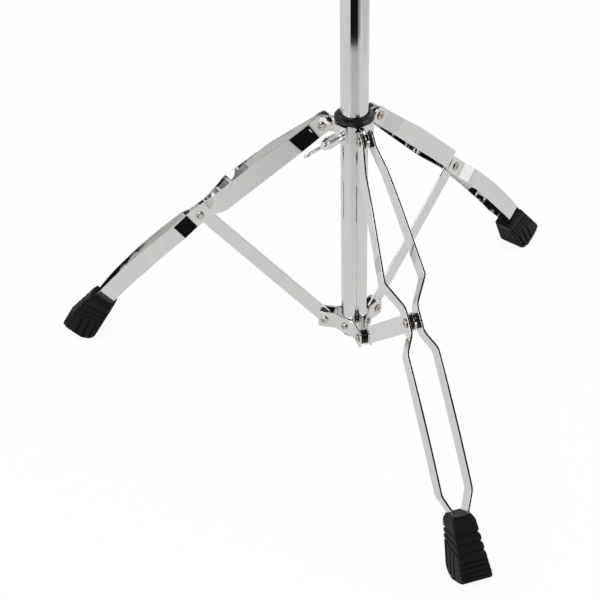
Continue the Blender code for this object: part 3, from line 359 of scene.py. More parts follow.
# Turns radius and height points about Z: a ring where none is near the axis, else a solid
def turned(profile, rounding=0.4 * mm, steps=72, arcSteps=3, shape=None):
    ring = min(radius for radius, _ in profile) > 2 * axis
    outline = roundCorners(profile, rounding, arcSteps, closed=ring)
    sections = []
    for radius, height in outline:
        section = []
        for i in range(steps):
            angle = 2 * pi * i / steps
            reach = radius * (shape(angle, radius) if shape else 1)
            section.append(Vector((reach * cos(angle), reach * sin(angle), height)))
        sections.append(section)
    return loft(sections, loop=ring)


# A plate with rounded edges: its rings step in towards each face
def softPrism(outline, low, high, edge=0.6 * mm, steps=3):
    before = outline[-1:] + outline[:-1]
    doubleArea = sum(x * lastY - y * lastX for (x, y), (lastX, lastY) in zip(outline, before))
    outside = -1 if doubleArea > 0 else 1  # the sign that makes the normals point outwards
    normals = []
    for i in range(len(outline)):
        along = Vector(outline[(i + 1) % len(outline)]) - Vector(outline[i - 1])
        normals.append(outside * Vector((along.y, -along.x)).normalized())
    sections = []
    for face, side in ((low, -1), (high, 1)):
        stops = range(steps + 1) if side < 0 else range(steps, -1, -1)
        for step in stops:
            angle = pi / 2 * step / steps
            inset = edge * (1 - sin(angle))
            height = face - side * edge * (1 - cos(angle))
            ring = [Vector(point) - normal * inset for point, normal in zip(outline, normals)]
            sections.append([Vector((point.x, point.y, height)) for point in ring])
    return loft(sections)


def merged(*parts):
    whole = bmesh.new()
    for part in parts:
        mesh = bpy.data.meshes.new("part")
        bmesh.ops.recalc_face_normals(part, faces=part.faces)
        part.to_mesh(mesh)
        part.free()
        whole.from_mesh(mesh)
        bpy.data.meshes.remove(mesh)
    return whole


def moved(bm, matrix):
    bmesh.ops.transform(bm, matrix=matrix, verts=bm.verts)
    return bm


faceWeight = 100  # large faces reflect as flat ones beside their rounded edges


# Makes a piece in the stand's frame, gives it its finish and lets it ride on its body
def addPiece(name, bm, body, slot, nodes, sharp=32, place=None, finish=None):
    if place:
        moved(bm, place)
    bmesh.ops.recalc_face_normals(bm, faces=bm.faces)
    mesh = bpy.data.meshes.new(name)
    bm.to_mesh(mesh)
    bm.free()
    mesh.shade_smooth()
    mesh.set_sharp_from_angle(angle=radians(sharp))
    piece = bpy.data.objects.new(name, mesh)
    bpy.context.scene.collection.objects.link(piece)
    mesh.materials.append(finish or finishes[slot])
    flatFaces = piece.modifiers.new("flatFaces", "WEIGHTED_NORMAL")
    flatFaces.weight = faceWeight
    flatFaces.keep_sharp = True
    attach(piece, body)
    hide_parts(*nodes)


foldSteps = 4


# Even steps, with closer ones about each fold
def finePlaces(start, end, step, folds, ease):
    places = set()
    count = max(int((end - start) / step), 1)
    for i in range(count + 1):
        places.add(round(start + (end - start) * i / count, 6))
    for fold in folds:
        for i in range(-foldSteps, foldSteps + 1):
            place = fold + ease * i / (foldSteps - 1)
            if start < place < end:
                places.add(round(place, 6))
    return sorted(places)


def knotValue(knots, along):
    if along <= knots[0][0]:
        return knots[0][1]
    for (start, first), (end, second) in zip(knots, knots[1:]):
        if along <= end:
            return first + (second - first) * (along - start) / (end - start)
    return knots[-1][1]


def easedValue(knots, along, ease):
    offsets = [ease * i / foldSteps for i in range(-foldSteps, foldSteps + 1)]
    return sum(knotValue(knots, along + offset) for offset in offsets) / len(offsets)


# Legs: two pressed strips, which flare out, pinch at the pivots and meet in the foot
leg = {
    "thickness": 2 * mm,
    "edge": 0.32 * mm,
    "edgeShare": 0.4,  # of the strip's height, where the edge would be too large
    "endRadius": 9.4 * mm,
    "endFullness": 3,
    "halfHeight": 9.1 * mm,
    "bendStart": link["length"] + 30.5 * mm,
    "ankle": 370 * mm,
    "inFoot": 24 * mm,
    "bend": radians(8),
    "ease": 3 * mm,
    "pinched": 7.2 * mm,
    "step": 4 * mm,
    "probe": 1 * mm,  # how far ahead and behind the slope is measured
}
# Along the leg from the collar's pivot: sideways reach, then height above and below the middle
leg["reach"] = [
    (8.8 * mm, leg["pinched"]),
    (35.5 * mm, 12.3 * mm),
    (145.5 * mm, 22 * mm),
    (link["length"] - 14 * mm, leg["pinched"]),
    (link["length"] + 12 * mm, leg["pinched"]),
    (leg["bendStart"], 16.6 * mm),
    (355 * mm, 16.6 * mm),
    (leg["ankle"] + 5 * mm, 8 * mm),
    (leg["ankle"] + leg["inFoot"], 7 * mm),
]
leg["top"] = [
    (8.8 * mm, leg["halfHeight"]),
    (35.5 * mm, leg["halfHeight"] + 1 * mm),
    (70 * mm, 12.4 * mm),
    (145.5 * mm, 12 * mm),
    (link["length"] - 14 * mm, leg["halfHeight"]),
    (leg["bendStart"], leg["halfHeight"]),
    (290 * mm, 9.6 * mm),
    (leg["ankle"] + 9 * mm, 9.2 * mm),
    (leg["ankle"] + leg["inFoot"], 4.5 * mm),
]
leg["bottom"] = [
    (leg["bendStart"], leg["halfHeight"]),
    (290 * mm, 11 * mm),
    (leg["ankle"] + 9 * mm, 10.4 * mm),
    (leg["ankle"] + leg["inFoot"], 4.5 * mm),
]


# Point and downward angle of the leg's middle line
def legPoint(along):
    if along <= leg["bendStart"]:
        return Vector((along, 0, 0)), 0.0
    run = leg["ankle"] - leg["bendStart"]
    radius = run / leg["bend"]
    swept = min(along - leg["bendStart"], run) / radius
    point = Vector((leg["bendStart"] + radius * sin(swept), 0, -radius * (1 - cos(swept))))
    rest = max(along - leg["ankle"], 0)
    return point + Vector((rest * cos(swept), 0, -rest * sin(swept))), swept


def stripMesh(side):
    folds = [place for place, _ in leg["reach"]]
    end = leg["ankle"] + leg["inFoot"]
    places = [-leg["endRadius"] * cos(radians(angle)) for angle in range(6, 90, 7)]
    places += finePlaces(0, end, leg["step"], folds, leg["ease"])
    sections = []
    for along in places:
        centre, down = legPoint(along)
        ahead = easedValue(leg["reach"], along + leg["probe"], leg["ease"])
        behind = easedValue(leg["reach"], along - leg["probe"], leg["ease"])
        stretch = sqrt(1 + ((ahead - behind) / (2 * leg["probe"])) ** 2)
        outer = easedValue(leg["reach"], along, leg["ease"])
        inner = outer - leg["thickness"] * stretch
        top = easedValue(leg["top"], along, leg["ease"])
        bottom = easedValue(leg["bottom"], along, leg["ease"])
        if along < 0:
            rounding = 1 - (-along / leg["endRadius"]) ** leg["endFullness"]
            top = bottom = leg["halfHeight"] * rounding ** (1 / leg["endFullness"])
        corners = [(outer, top), (outer, -bottom), (inner, -bottom), (inner, top)]
        up = Vector((sin(down), 0, cos(down)))
        edge = min(leg["edge"], top * leg["edgeShare"])
        section = []
        for across, height in roundCorners(corners, edge, 3):
            section.append(centre + up * height + Vector((0, side * across, 0)))
        sections.append(section)
    return loft(sections)


legTilt = Matrix.Rotation(link["slope"], 4, "Y")


def makeLegStrips(number):
    arm = stand["arms"][number]
    place = armPlace(number, link["pivotRadius"], collarHeight) @ legTilt
    for side, label in ((1, "a"), (-1, "b")):
        node = f"leg_{arm}_strip_{label}"
        name = f"{arm}LegStrip{label.upper()}"
        addPiece(name, stripMesh(side), f"leg_{arm}", "chrome", [node], place=place)


# Stays: flat bars with round ends
stayShape = {"thickness": 2.6 * mm, "halfHeight": 9.2 * mm, "edge": 0.35 * mm, "arcSteps": 32}


def makeStay(number):
    arm = stand["arms"][number]
    radius = stayShape["halfHeight"]
    steps = stayShape["arcSteps"]
    outline = []
    for centre, start in ((link["length"], -pi / 2), (0, pi / 2)):
        for i in range(steps + 1):
            angle = start + pi * i / steps
            outline.append((centre + radius * cos(angle), radius * sin(angle)))
    half = stayShape["thickness"] / 2
    bar = softPrism(outline, -half, half, stayShape["edge"])
    moved(bar, Matrix.Rotation(pi / 2, 4, "X"))
    place = armPlace(number, link["pivotRadius"], lowerHeight) @ legTilt.inverted()
    addPiece(f"{arm}Stay", bar, f"stay_{arm}", "chrome", [f"stay_{arm}"], place=place)


# Pivots
pivot = {
    "shank": 3 * mm,
    "head": 5 * mm,
    "headHeight": 1.6 * mm,
    "headSide": 0.7 * mm,
    "headTaper": 0.86,
    "headEase": 0.25 * mm,
    "dimple": 1.8 * mm,
    "dimpleRim": 0.7 * mm,
    "dimpleEase": 0.35 * mm,
    "dimpleTaper": 0.85,
    "dish": 6 * mm,
    "flange": 7.6 * mm,
    "barrel": 4.3 * mm,
    "earReach": 7.3 * mm,
    "earThickness": 2 * mm,
    "lugThickness": 4 * mm,
}


def rivetMesh(grip):
    face = grip + stand["fitGap"]
    top = face + pivot["headHeight"]
    half = [
        (pivot["shank"], face),
        (pivot["head"], face),
        (pivot["head"], face + pivot["headSide"]),
        (pivot["head"] * pivot["headTaper"], top - pivot["headEase"]),
        (pivot["dimple"] + pivot["dimpleRim"], top),
        (pivot["dimple"], top - pivot["dimpleEase"]),
        (pivot["dimple"] * pivot["dimpleTaper"], top - pivot["dish"]),
        (axis, top - pivot["dish"]),
    ]
    low = [(radius, -height) for radius, height in reversed(half)]
    return turned(low + half, 0.3 * mm, 48)


def bushingMesh(core, reach):
    bore = pivot["shank"] + stand["fitGap"]
    inner = core + stand["fitGap"]
    profile = [
        (bore, -reach),
        (pivot["flange"], -reach),
        (pivot["flange"], -inner),
        (pivot["barrel"], -inner),
        (pivot["barrel"], inner),
        (pivot["flange"], inner),
        (pivot["flange"], reach),
        (bore, reach),
    ]
    return turned(profile, 0.35 * mm, 48)


# Each row: label, body, distance out and height, then half of what the rivet grips,
# of the piece in the middle and of the room between the outer two
def makePivots(number):
    arm = stand["arms"][number]
    near = link["pivotRadius"]
    far = near + link["length"] * cos(link["slope"])
    strip = leg["pinched"]
    stripInner = strip - leg["thickness"] - stand["fitGap"]
    ear = pivot["earReach"]
    earInner = ear - pivot["earThickness"] - stand["fitGap"]
    lug = pivot["lugThickness"] / 2
    stay = stayShape["thickness"] / 2
    rows = (
        ("collar", "collar", near, collarHeight, strip, lug, stripInner),
        ("middle", f"leg_{arm}", far, middleHeight, strip, stay, stripInner),
        ("lower", "base", near, lowerHeight, ear, stay, earInner),
    )
    for label, body, out, height, grip, core, inner in rows:
        place = acrossArm(number, out, height)
        name = arm + label.title()
        rivet = f"{label}_rivet_{arm}"
        bushing = f"{label}_bushing_{arm}"
        addPiece(f"{name}Rivet", rivetMesh(grip), body, "nickel", [rivet], place=place)
        washers = bushingMesh(core, inner)
        addPiece(f"{name}Bushing", washers, body, "black_nylon", [bushing], place=place)


# Rubber feet: points are in metres from the ankle, shares run from the rim to the sole
foot = {
    "drop": 60 * mm,
    "heelTop": (-10 * mm, -13.7 * mm),
    "toeTop": (14.2 * mm, 3.5 * mm),
    "heelSlope": radians(58.5),
    "toeSlope": radians(47.6),
    "heelRound": 10 * mm,
    "toeRound": 5 * mm,
    "toeCut": 38 * mm,
    "toeCutSlope": radians(36),
    "topHalf": 11.5 * mm,
    "soleHalf": 16.8 * mm,
    "widestShare": 0.8,
    "grooves": (0.21, 0.31, 0.41),
    "grooveHalf": 0.026,
    "grooveDepth": 2.0 * mm,
    "grooveFullness": 0.6,
    "ribs": 3,
    "ribPitch": 9 * mm,
    "ribDepth": 3.2 * mm,
    "ribGap": 0.05,
    "ribFade": 0.02,
    "ribShape": ((-0.15, 0), (-0.12, 0.9), (0, 1), (0.12, 0.9), (0.15, 0)),
    "treads": 10,
    "treadEnd": 0.99,
    "treadMiddle": 0.7,
    "treadHalf": 0.3,
    "treadDepth": 2.2 * mm,
    "treadAtHeel": 0.6,
    "treadFade": 35 * mm,
    "chamfer": 2.2 * mm,
    "chamferShare": 0.2,
    "chamferShape": ((0, 1), (0.35, 0.3), (1, 0)),
    "rimShare": 0.09,
    "rimRound": 2.6 * mm,
    "soleEdgeShare": 0.03,
    "soleEdge": 0.9 * mm,
    "rimShares": (0, 0.012, 0.025),
    "evenShares": (0.05, 0.98, 130),
    "soleShares": (0.988, 0.995, 1.0),
}


# The point at a share of a polyline's length
def alongChain(chain, share):
    lengths = [(second - first).length for first, second in zip(chain, chain[1:])]
    target = share * sum(lengths)
    for (first, second), length in zip(zip(chain, chain[1:]), lengths):
        if target <= length:
            return first.lerp(second, target / length)
        target -= length
    return chain[-1].copy()


# The foot seen from the side: its outline from the rim down the heel, and from the rim down the toe
def footChains():
    floor = -foot["drop"]
    heelTop = Vector(foot["heelTop"])
    toeTop = Vector(foot["toeTop"])
    heel = Vector((heelTop.x + (heelTop.y - floor) / tan(foot["heelSlope"]), floor))
    toe = Vector((toeTop.x + (toeTop.y - floor) / tan(foot["toeSlope"]), floor))
    cutFoot = toe - Vector((foot["toeCut"], 0))
    turn = foot["toeCutSlope"] + foot["toeSlope"]
    cutLength = foot["toeCut"] * sin(foot["toeSlope"]) / sin(turn)
    cutTop = cutFoot + Vector((cos(foot["toeCutSlope"]), sin(foot["toeCutSlope"]))) * cutLength
    heelChain = roundCorners([heelTop, heel, toe], foot["heelRound"], 8, closed=False)
    toeChain = roundCorners([toeTop, cutTop, cutFoot, heel], foot["toeRound"], 6, closed=False)
    return heelChain[:-1], toeChain[:-1]


def pulse(value):  # 1 in the middle of a groove and 0 at its edges
    return max(0.0, 1 - abs(value)) ** foot["grooveFullness"]


# How deep the tread is cut at this share, from 0 to 1
def treadAt(share, start):
    if share <= start:
        return 0.0
    phase = (share - start) / (foot["treadEnd"] - start) * foot["treads"] % 1
    return pulse((phase - foot["treadMiddle"]) / foot["treadHalf"])


# How far the outline is drawn in at this share, by the grooves, the rim and the sole's edge
def footInset(share):
    groove = max(pulse((share - middle) / foot["grooveHalf"]) for middle in foot["grooves"])
    rim = max(0.0, 1 - share / foot["rimShare"])
    sole = max(0.0, 1 - (1 - share) / foot["soleEdgeShare"])
    return groove * foot["grooveDepth"] + rim ** 2 * foot["rimRound"] + sole * foot["soleEdge"]


def footSection(share):
    heelChain, toeChain = footChains()
    heel = alongChain(heelChain, share)
    toe = alongChain(toeChain, share)
    ribStart = foot["grooves"][-1] + foot["ribGap"]
    ribbed = min(max((share - ribStart) / foot["ribFade"], 0), 1)
    inset = footInset(share)
    across = (toe - heel).normalized()
    if 0 < share < 1:
        heel = heel + across * inset
        toe = toe - across * inset
    length = (toe - heel).length
    wider = min(share / foot["widestShare"], 1)
    half = foot["topHalf"] + (foot["soleHalf"] - foot["topHalf"]) * wider - inset
    chamfer = min(foot["chamfer"], foot["chamferShare"] * length)
    fade = min(1, (length / foot["treadFade"]) ** 2)
    sink = treadAt(share, ribStart) * foot["treadDepth"] * fade
    start = foot["treadAtHeel"] * sink
    end = length - sink
    edge = []
    for along, lower in foot["chamferShape"]:
        edge.append((chamfer * along, half - foot["chamfer"] * lower))
    side = [(start + along, width) for along, width in edge]
    pitch = min(foot["ribPitch"], (length - 2 * chamfer) / foot["ribs"])
    depth = ribbed * foot["ribDepth"]
    for number in range(foot["ribs"]):
        middle = chamfer + pitch * (number + 0.5)
        for offset, deep in foot["ribShape"]:
            side.append((middle + pitch * offset, half - depth * deep))
    side += [(end - along, width) for along, width in reversed(edge)]
    loop = side + [(place, -width) for place, width in reversed(side)]
    points = []
    for place, width in loop:
        spot = heel + across * place
        points.append(Vector((spot.x, width, spot.y)))
    return points


def makeFoot(number):
    arm = stand["arms"][number]
    start, end, steps = foot["evenShares"]
    even = [start + (end - start) * i / steps for i in range(steps + 1)]
    shares = [*foot["rimShares"], *even, *foot["soleShares"]]
    ankle = legPoint(leg["ankle"])[0]
    level = Matrix.Translation(ankle) @ legTilt.inverted()
    place = armPlace(number, link["pivotRadius"], collarHeight) @ legTilt @ level
    body = loft([footSection(share) for share in shares])
    node = f"foot_{arm}"
    addPiece(f"{arm}Foot", body, f"leg_{arm}", "black_rubber", [node], sharp=40, place=place)


for number in range(3):
    makeLegStrips(number)
    makeStay(number)
    makePivots(number)
    makeFoot(number)
print("arms made")


# Main tube
tube = {
    "wall": 1.6 * mm,
    "edge": 0.4 * mm,
    "plugHead": 3 * mm,
    "plugChamfer": 1.5 * mm,
    "plugDepth": 7 * mm,
}


def tubeMesh(radius, wall, low, high, steps=96):
    inner = radius - wall
    return turned([(inner, low), (radius, low), (radius, high), (inner, high)], tube["edge"], steps)


def makeLowerTube():
    body = tubeMesh(stand["radius"], tube["wall"], stand["bottom"], stand["rim"])
    addPiece("lowerTube", body, "base", "chrome", ["lower_tube"], place=standPlace)
    radius = stand["radius"]
    inner = radius - tube["wall"] - stand["fitGap"]
    low = stand["bottom"] - stand["fitGap"]
    profile = [
        (axis, low - tube["plugHead"]),
        (radius - tube["plugChamfer"], low - tube["plugHead"]),
        (radius, low - tube["plugChamfer"]),
        (radius, low),
        (inner, low),
        (inner, low + tube["plugDepth"]),
        (axis, low + tube["plugDepth"]),
    ]
    plug = turned(profile, 0.5 * mm)
    addPiece("tubePlug", plug, "base", "black_nylon", ["tube_plug"], place=standPlace)


# Lower bracket
bracket = {
    "thickness": 2 * mm,
    "height": 20.5 * mm,
    "tipBeyond": 7.2 * mm,
    "corner": 3.6 * mm,
    "bend": 3 * mm,
    "edge": 0.5 * mm,
    "tipShares": (0.01, 0.03, 0.06, 0.1, 0.15, 0.21, 0.28, 0.4),
    "boltShank": 2 * mm,
    "boltHead": 4.2 * mm,
    "boltHeadHeight": 2.2 * mm,
    "socket": 0.5,  # share of the head's radius
    "socketReach": 0.52,
    "socketDepth": 1.2 * mm,
}


def bracketPath(heading, farHeading):
    middle = pivot["earReach"] - bracket["thickness"] / 2
    flat = stand["radius"] + stand["fitGap"] + bracket["thickness"] / 2
    tip = link["pivotRadius"] + bracket["tipBeyond"]
    ends = []
    for angle, side in ((heading, 1), (farHeading, -1)):
        out = Vector((cos(angle), sin(angle)))
        across = Vector((-sin(angle), cos(angle))) * side
        half = (heading + farHeading) / 2
        bisector = Vector((cos(half), sin(half)))
        bend = (flat - middle * across.dot(bisector)) / out.dot(bisector)
        ends.append((out * tip + across * middle, out * bend + across * middle))
    (firstTip, firstBend), (lastTip, lastBend) = ends
    corners = [firstTip, firstBend, lastBend, lastTip]
    folded = roundCorners(corners, bracket["bend"], 8, closed=False)
    shares = bracket["tipShares"]
    first = [firstTip.lerp(folded[1], share) for share in shares]
    last = [lastTip.lerp(folded[-2], share) for share in reversed(shares)]
    return [firstTip] + first + folded[1:-1] + last + [lastTip]


def bracketHalfHeight(distance):
    full = bracket["height"] / 2
    if distance >= bracket["corner"]:
        return full
    missing = bracket["corner"] - distance
    return full - bracket["corner"] + sqrt(max(bracket["corner"] ** 2 - missing ** 2, 0))


def bracketPlate(heading, farHeading):
    path = bracketPath(heading, farHeading)
    sections = []
    for index, point in enumerate(path):
        before = path[max(index - 1, 0)]
        after = path[min(index + 1, len(path) - 1)]
        along = (after - before).normalized()
        normal = Vector((along.y, -along.x))
        half = bracket["thickness"] / 2
        tall = bracketHalfHeight(min((point - path[0]).length, (point - path[-1]).length))
        corners = [(half, tall), (-half, tall), (-half, -tall), (half, -tall)]
        section = []
        for out, height in roundCorners(corners, bracket["edge"], 3):
            section.append(Vector((*(point + normal * out), height)))
        sections.append(section)
    return loft(sections)


def hexRecess(angle, radius):  # makes a round hole a six-sided socket
    if radius > bracket["boltHead"] * bracket["socketReach"] or radius < 3 * axis:
        return 1
    turn = (degrees(angle) + 30) % 60 - 30
    return 0.9 / cos(radians(turn))


def boltMesh():
    face = stand["radius"] + stand["fitGap"] * 2 + bracket["thickness"]
    inner = stand["radius"] - tube["wall"] - 1 * mm
    shank = bracket["boltShank"]
    head = bracket["boltHead"]
    socket = head * bracket["socket"]
    top = face + bracket["boltHeadHeight"]
    profile = [
        (axis, inner),
        (shank, inner),
        (shank, face),
        (head, face),
        (head, face + bracket["boltHeadHeight"] * 0.45),
        (head * 0.82, top - 0.35 * mm),
        (head * 0.6, top),
        (socket, top - 0.1 * mm),
        (socket, top - bracket["socketDepth"]),
        (axis, top - bracket["socketDepth"]),
    ]
    return turned(profile, 0.2 * mm, 48, shape=hexRecess)


def makeLowerBracket():
    place = standPlace @ Matrix.Translation((0, 0, lowerHeight))
    for number, arm in enumerate(stand["arms"]):
        heading = armHeading(number)
        far = armHeading(number + 1)
        label = f"{arm}_{stand['arms'][(number + 1) % 3]}"
        plate = bracketPlate(heading, far)
        nodes = [f"bracket_plate_{label}"]
        addPiece(f"bracketPlate{number}", plate, "base", "chrome", nodes, place=place)
        turn = outwards((heading + far) / 2, lowerHeight)
        nodes = [f"bracket_bolt_{label}"]
        addPiece(f"bracketBolt{number}", boltMesh(), "base", "nickel", nodes, place=turn)


# Sliding collar
collar = {
    "flange": 20.6 * mm,
    "flangeHeight": 6.6 * mm,
    "sleeve": 17.2 * mm,
    "outer": 19.8 * mm,
    "above": 8.8 * mm,
    "below": 11 * mm,
    "lugEnd": 8.4 * mm,
    "bossHalf": 7.5 * mm,
    "bossReach": 22.5 * mm,
    "screwHeading": radians(-150),
    "screwTurn": radians(-49),
    "screwDrop": 3 * mm,
    "arcSteps": 24,
}


def collarRing():
    sleeveLow = -collar["below"] - 1 * mm
    flangeLow = collar["above"] + stand["fitGap"]
    bore = stand["radius"] + stand["fitGap"]
    profile = [
        (bore, sleeveLow),
        (collar["sleeve"], sleeveLow),
        (collar["sleeve"], flangeLow),
        (collar["flange"], flangeLow),
        (collar["flange"], flangeLow + 3.4 * mm),
        (collar["flange"] - 1.8 * mm, flangeLow + 5 * mm),
        (bore + 1.6 * mm, flangeLow + collar["flangeHeight"]),
        (bore, flangeLow + collar["flangeHeight"]),
    ]
    return turned(profile, 0.7 * mm, 96, 4)


def collarBracket():
    inner = collar["sleeve"] + stand["fitGap"]
    band = turned(
        [
            (inner, -collar["below"]),
            (collar["outer"], -collar["below"]),
            (collar["outer"], collar["above"]),
            (inner, collar["above"]),
        ],
        0.5 * mm,
        96,
    )
    parts = [band]
    end = collar["lugEnd"]
    outline = []
    for i in range(collar["arcSteps"] + 1):
        angle = -pi / 2 + pi * i / collar["arcSteps"]
        outline.append((link["pivotRadius"] + end * cos(angle), end * sin(angle)))
    root = collar["outer"] - 1 * mm
    outline += [(root, end), (root, -end)]
    half = pivot["lugThickness"] / 2
    for number in range(3):
        lug = softPrism(outline, -half, half)
        parts.append(moved(lug, armTurn(number) @ Matrix.Rotation(pi / 2, 4, "X")))
    start = inner + 0.9 * mm
    reach = collar["bossReach"]
    half = collar["bossHalf"]
    square = [(start, -half), (reach, -half), (reach, half), (start, half)]
    boss = softPrism(roundCorners(square, 1 * mm, 3), -collar["below"], collar["above"])
    parts.append(moved(boss, Matrix.Rotation(collar["screwHeading"], 4, "Z")))
    return merged(*parts)


def makeCollar():
    place = standPlace @ Matrix.Translation((0, 0, collarHeight))
    addPiece("collarRing", collarRing(), "collar", "black_nylon", ["collar_ring"], place=place)
    addPiece("collarBracket", collarBracket(), "collar", "chrome", ["collar_bracket"], place=place)


# Wing screws
wing = {
    "screw": 3 * mm,
    "hub": 6.4 * mm,
    "hubLength": 24 * mm,
    "hubWidest": 17.28 * mm,
    "thickness": 3.6 * mm,
    "rootLow": 4 * mm,
    "root": ((3 * mm, 0), (9 * mm, 4 * mm)),
    "tip": (15 * mm, 34 * mm),
    "tipRadius": 5.5 * mm,
    "tipFrom": radians(-40),
    "tipSweep": radians(190),
    "tipSteps": 16,
    "backHigh": 15 * mm,
    "backLow": (3 * mm, 13 * mm),
    "edge": 1.2 * mm,
    "pitch": 1.25 * mm,
    "threadDepth": 0.55 * mm,
    "flutes": 8,
    "fluteDepth": 0.15,  # share of the radius
}


def wingOutline(side, shift=0.0):
    low = wing["rootLow"]
    points = [(x, low + y) for x, y in wing["root"]]
    for i in range(wing["tipSteps"] + 1):
        angle = wing["tipFrom"] + wing["tipSweep"] * i / wing["tipSteps"]
        x = wing["tip"][0] + wing["tipRadius"] * cos(angle)
        points.append((x, wing["tip"][1] + wing["tipRadius"] * sin(angle)))
    backX, backY = wing["backLow"]
    points += [(wing["hub"], low + wing["backHigh"]), (backX, low + backY)]
    return [(side * (x + shift), y) for x, y in roundCorners(points, 2.5 * mm, 3)]


def threadProfile(radius, start, end):
    points = []
    count = max(int((end - start) / wing["pitch"]), 1)
    for i in range(count):
        low = start + (end - start) * i / count
        high = start + (end - start) * (i + 1) / count
        points += [(radius - wing["threadDepth"], low + 0.1 * mm), (radius, (low + high) / 2)]
    return points


def fluted(angle, radius):  # lengthwise slots on the hub
    if radius < wing["hub"] - 2 * mm:
        return 1
    return 1 - wing["fluteDepth"] * max(0, cos(angle * wing["flutes"] + pi)) ** 2


def wingBlades(face, shift=0.0):
    half = wing["thickness"] / 2
    stood = Matrix.Translation((0, 0, face)) @ Matrix.Rotation(pi / 2, 4, "X")
    for side in (1, -1):
        yield moved(softPrism(wingOutline(side, shift), -half, half, wing["edge"], 4), stood)


def wingScrew(tip, face):
    hub = wing["hub"]
    end = face + wing["hubLength"]
    profile = [(axis, tip), (wing["screw"] - 0.8 * mm, tip)]
    profile += threadProfile(wing["screw"], tip + 0.6 * mm, face - 0.3 * mm)
    profile += [
        (wing["screw"] - 0.6 * mm, face),
        (hub - 1 * mm, face),
        (hub, face + wing["hubWidest"]),
        (hub - 1.8 * mm, end),
        (axis, end + 0.8 * mm),
    ]
    return merged(turned(profile, 0.25 * mm, 96, 2, fluted), *wingBlades(face))


def makeCollarScrew():
    boss = outwards(collar["screwHeading"], collarHeight - collar["screwDrop"])
    place = boss @ Matrix.Rotation(collar["screwTurn"], 4, "Z")
    screw = wingScrew(stand["radius"] + stand["fitGap"], collar["bossReach"] + stand["fitGap"])
    nodes = ["collar_wing_screw"]
    addPiece("collarWingScrew", screw, "collar_screw", "chrome", nodes, place=place,
             finish=castChrome)


makeLowerTube()
makeLowerBracket()
makeCollar()
makeCollarScrew()
print("tube, bracket and collar made")


# Height clamp, upper tube and memory lock
post = {
    "radius": 11.1 * mm,
    "wall": 1.4 * mm,
    "clampOuter": 19.5 * mm,
    "clampBelow": 22 * mm,
    "clampAbove": 14 * mm,
    "insertDepth": 45 * mm,
    "insertFlange": 3 * mm,
    "bossRadius": 6.2 * mm,
    "bossLength": 4 * mm,
    "bossDepth": 3 * mm,
    "clampScrewHeading": radians(30),
    "lockScrewHeading": radians(150),
    "lockRadius": 17 * mm,
    "lockHeight": 16 * mm,
    "lockShank": 3 * mm,
    "lockHead": 4.6 * mm,
    "lockHeadHeight": 2.6 * mm,
    "lockKey": 5 * mm,
    "lockKeyReach": 7 * mm,
    "knurls": 48,
    "knurlDepth": 0.016,  # share of the radius
}
clampTop = stand["rim"] + post["clampAbove"]
clampScrewHeight = stand["rim"] + post["insertFlange"] + 5.5 * mm


def knurled(angle, radius):  # fine ribs on the lock ring's outside
    if radius < post["lockRadius"] - 0.3 * mm:
        return 1
    return 1 - post["knurlDepth"] * (0.5 + 0.5 * cos(angle * post["knurls"]))


def makeClamp():
    low = stand["rim"] - post["clampBelow"]
    step = stand["rim"] + post["insertFlange"] + 2 * stand["fitGap"]
    wide = stand["radius"] + stand["fitGap"]
    narrow = post["radius"] + stand["fitGap"]
    outer = post["clampOuter"]
    profile = [
        (wide, low),
        (outer - 1 * mm, low),
        (outer, low + 1 * mm),
        (outer, clampTop - 3 * mm),
        (outer - 2 * mm, clampTop),
        (narrow, clampTop),
        (narrow, step),
        (wide, step),
    ]
    body = turned(profile, 0.8 * mm, 96)
    turn = outwards(post["clampScrewHeading"], clampScrewHeight)
    face = outer + post["bossLength"]
    bore = wing["screw"] + stand["fitGap"]
    depth = post["bossDepth"]
    boss = turned(
        [
            (axis, outer - depth),
            (post["bossRadius"], outer - depth),
            (post["bossRadius"], face),
            (bore, face),
            (bore, face - depth),
            (axis, face - depth),
        ],
        0.5 * mm,
        48,
    )
    clamp = merged(moved(body, standPlace), moved(boss, turn))
    addPiece("heightClamp", clamp, "base", "chrome", ["height_clamp"])
    screw = wingScrew(narrow, face + stand["fitGap"])
    nodes = ["clamp_wing_screw"]
    addPiece("clampWingScrew", screw, "clamp_screw", "chrome", nodes, place=turn, finish=castChrome)
    innerWall = stand["radius"] - tube["wall"] - stand["fitGap"]
    flange = stand["rim"] + stand["fitGap"]
    flangeTop = flange + post["insertFlange"]
    flangeRadius = stand["radius"] - 0.2 * mm
    profile = [
        (narrow, flange - post["insertDepth"]),
        (innerWall, flange - post["insertDepth"]),
        (innerWall, flange),
        (flangeRadius, flange),
        (flangeRadius, flangeTop),
        (narrow, flangeTop),
    ]
    insert = turned(profile, 0.3 * mm)
    addPiece("clampInsert", insert, "base", "black_nylon", ["clamp_insert"], place=standPlace)


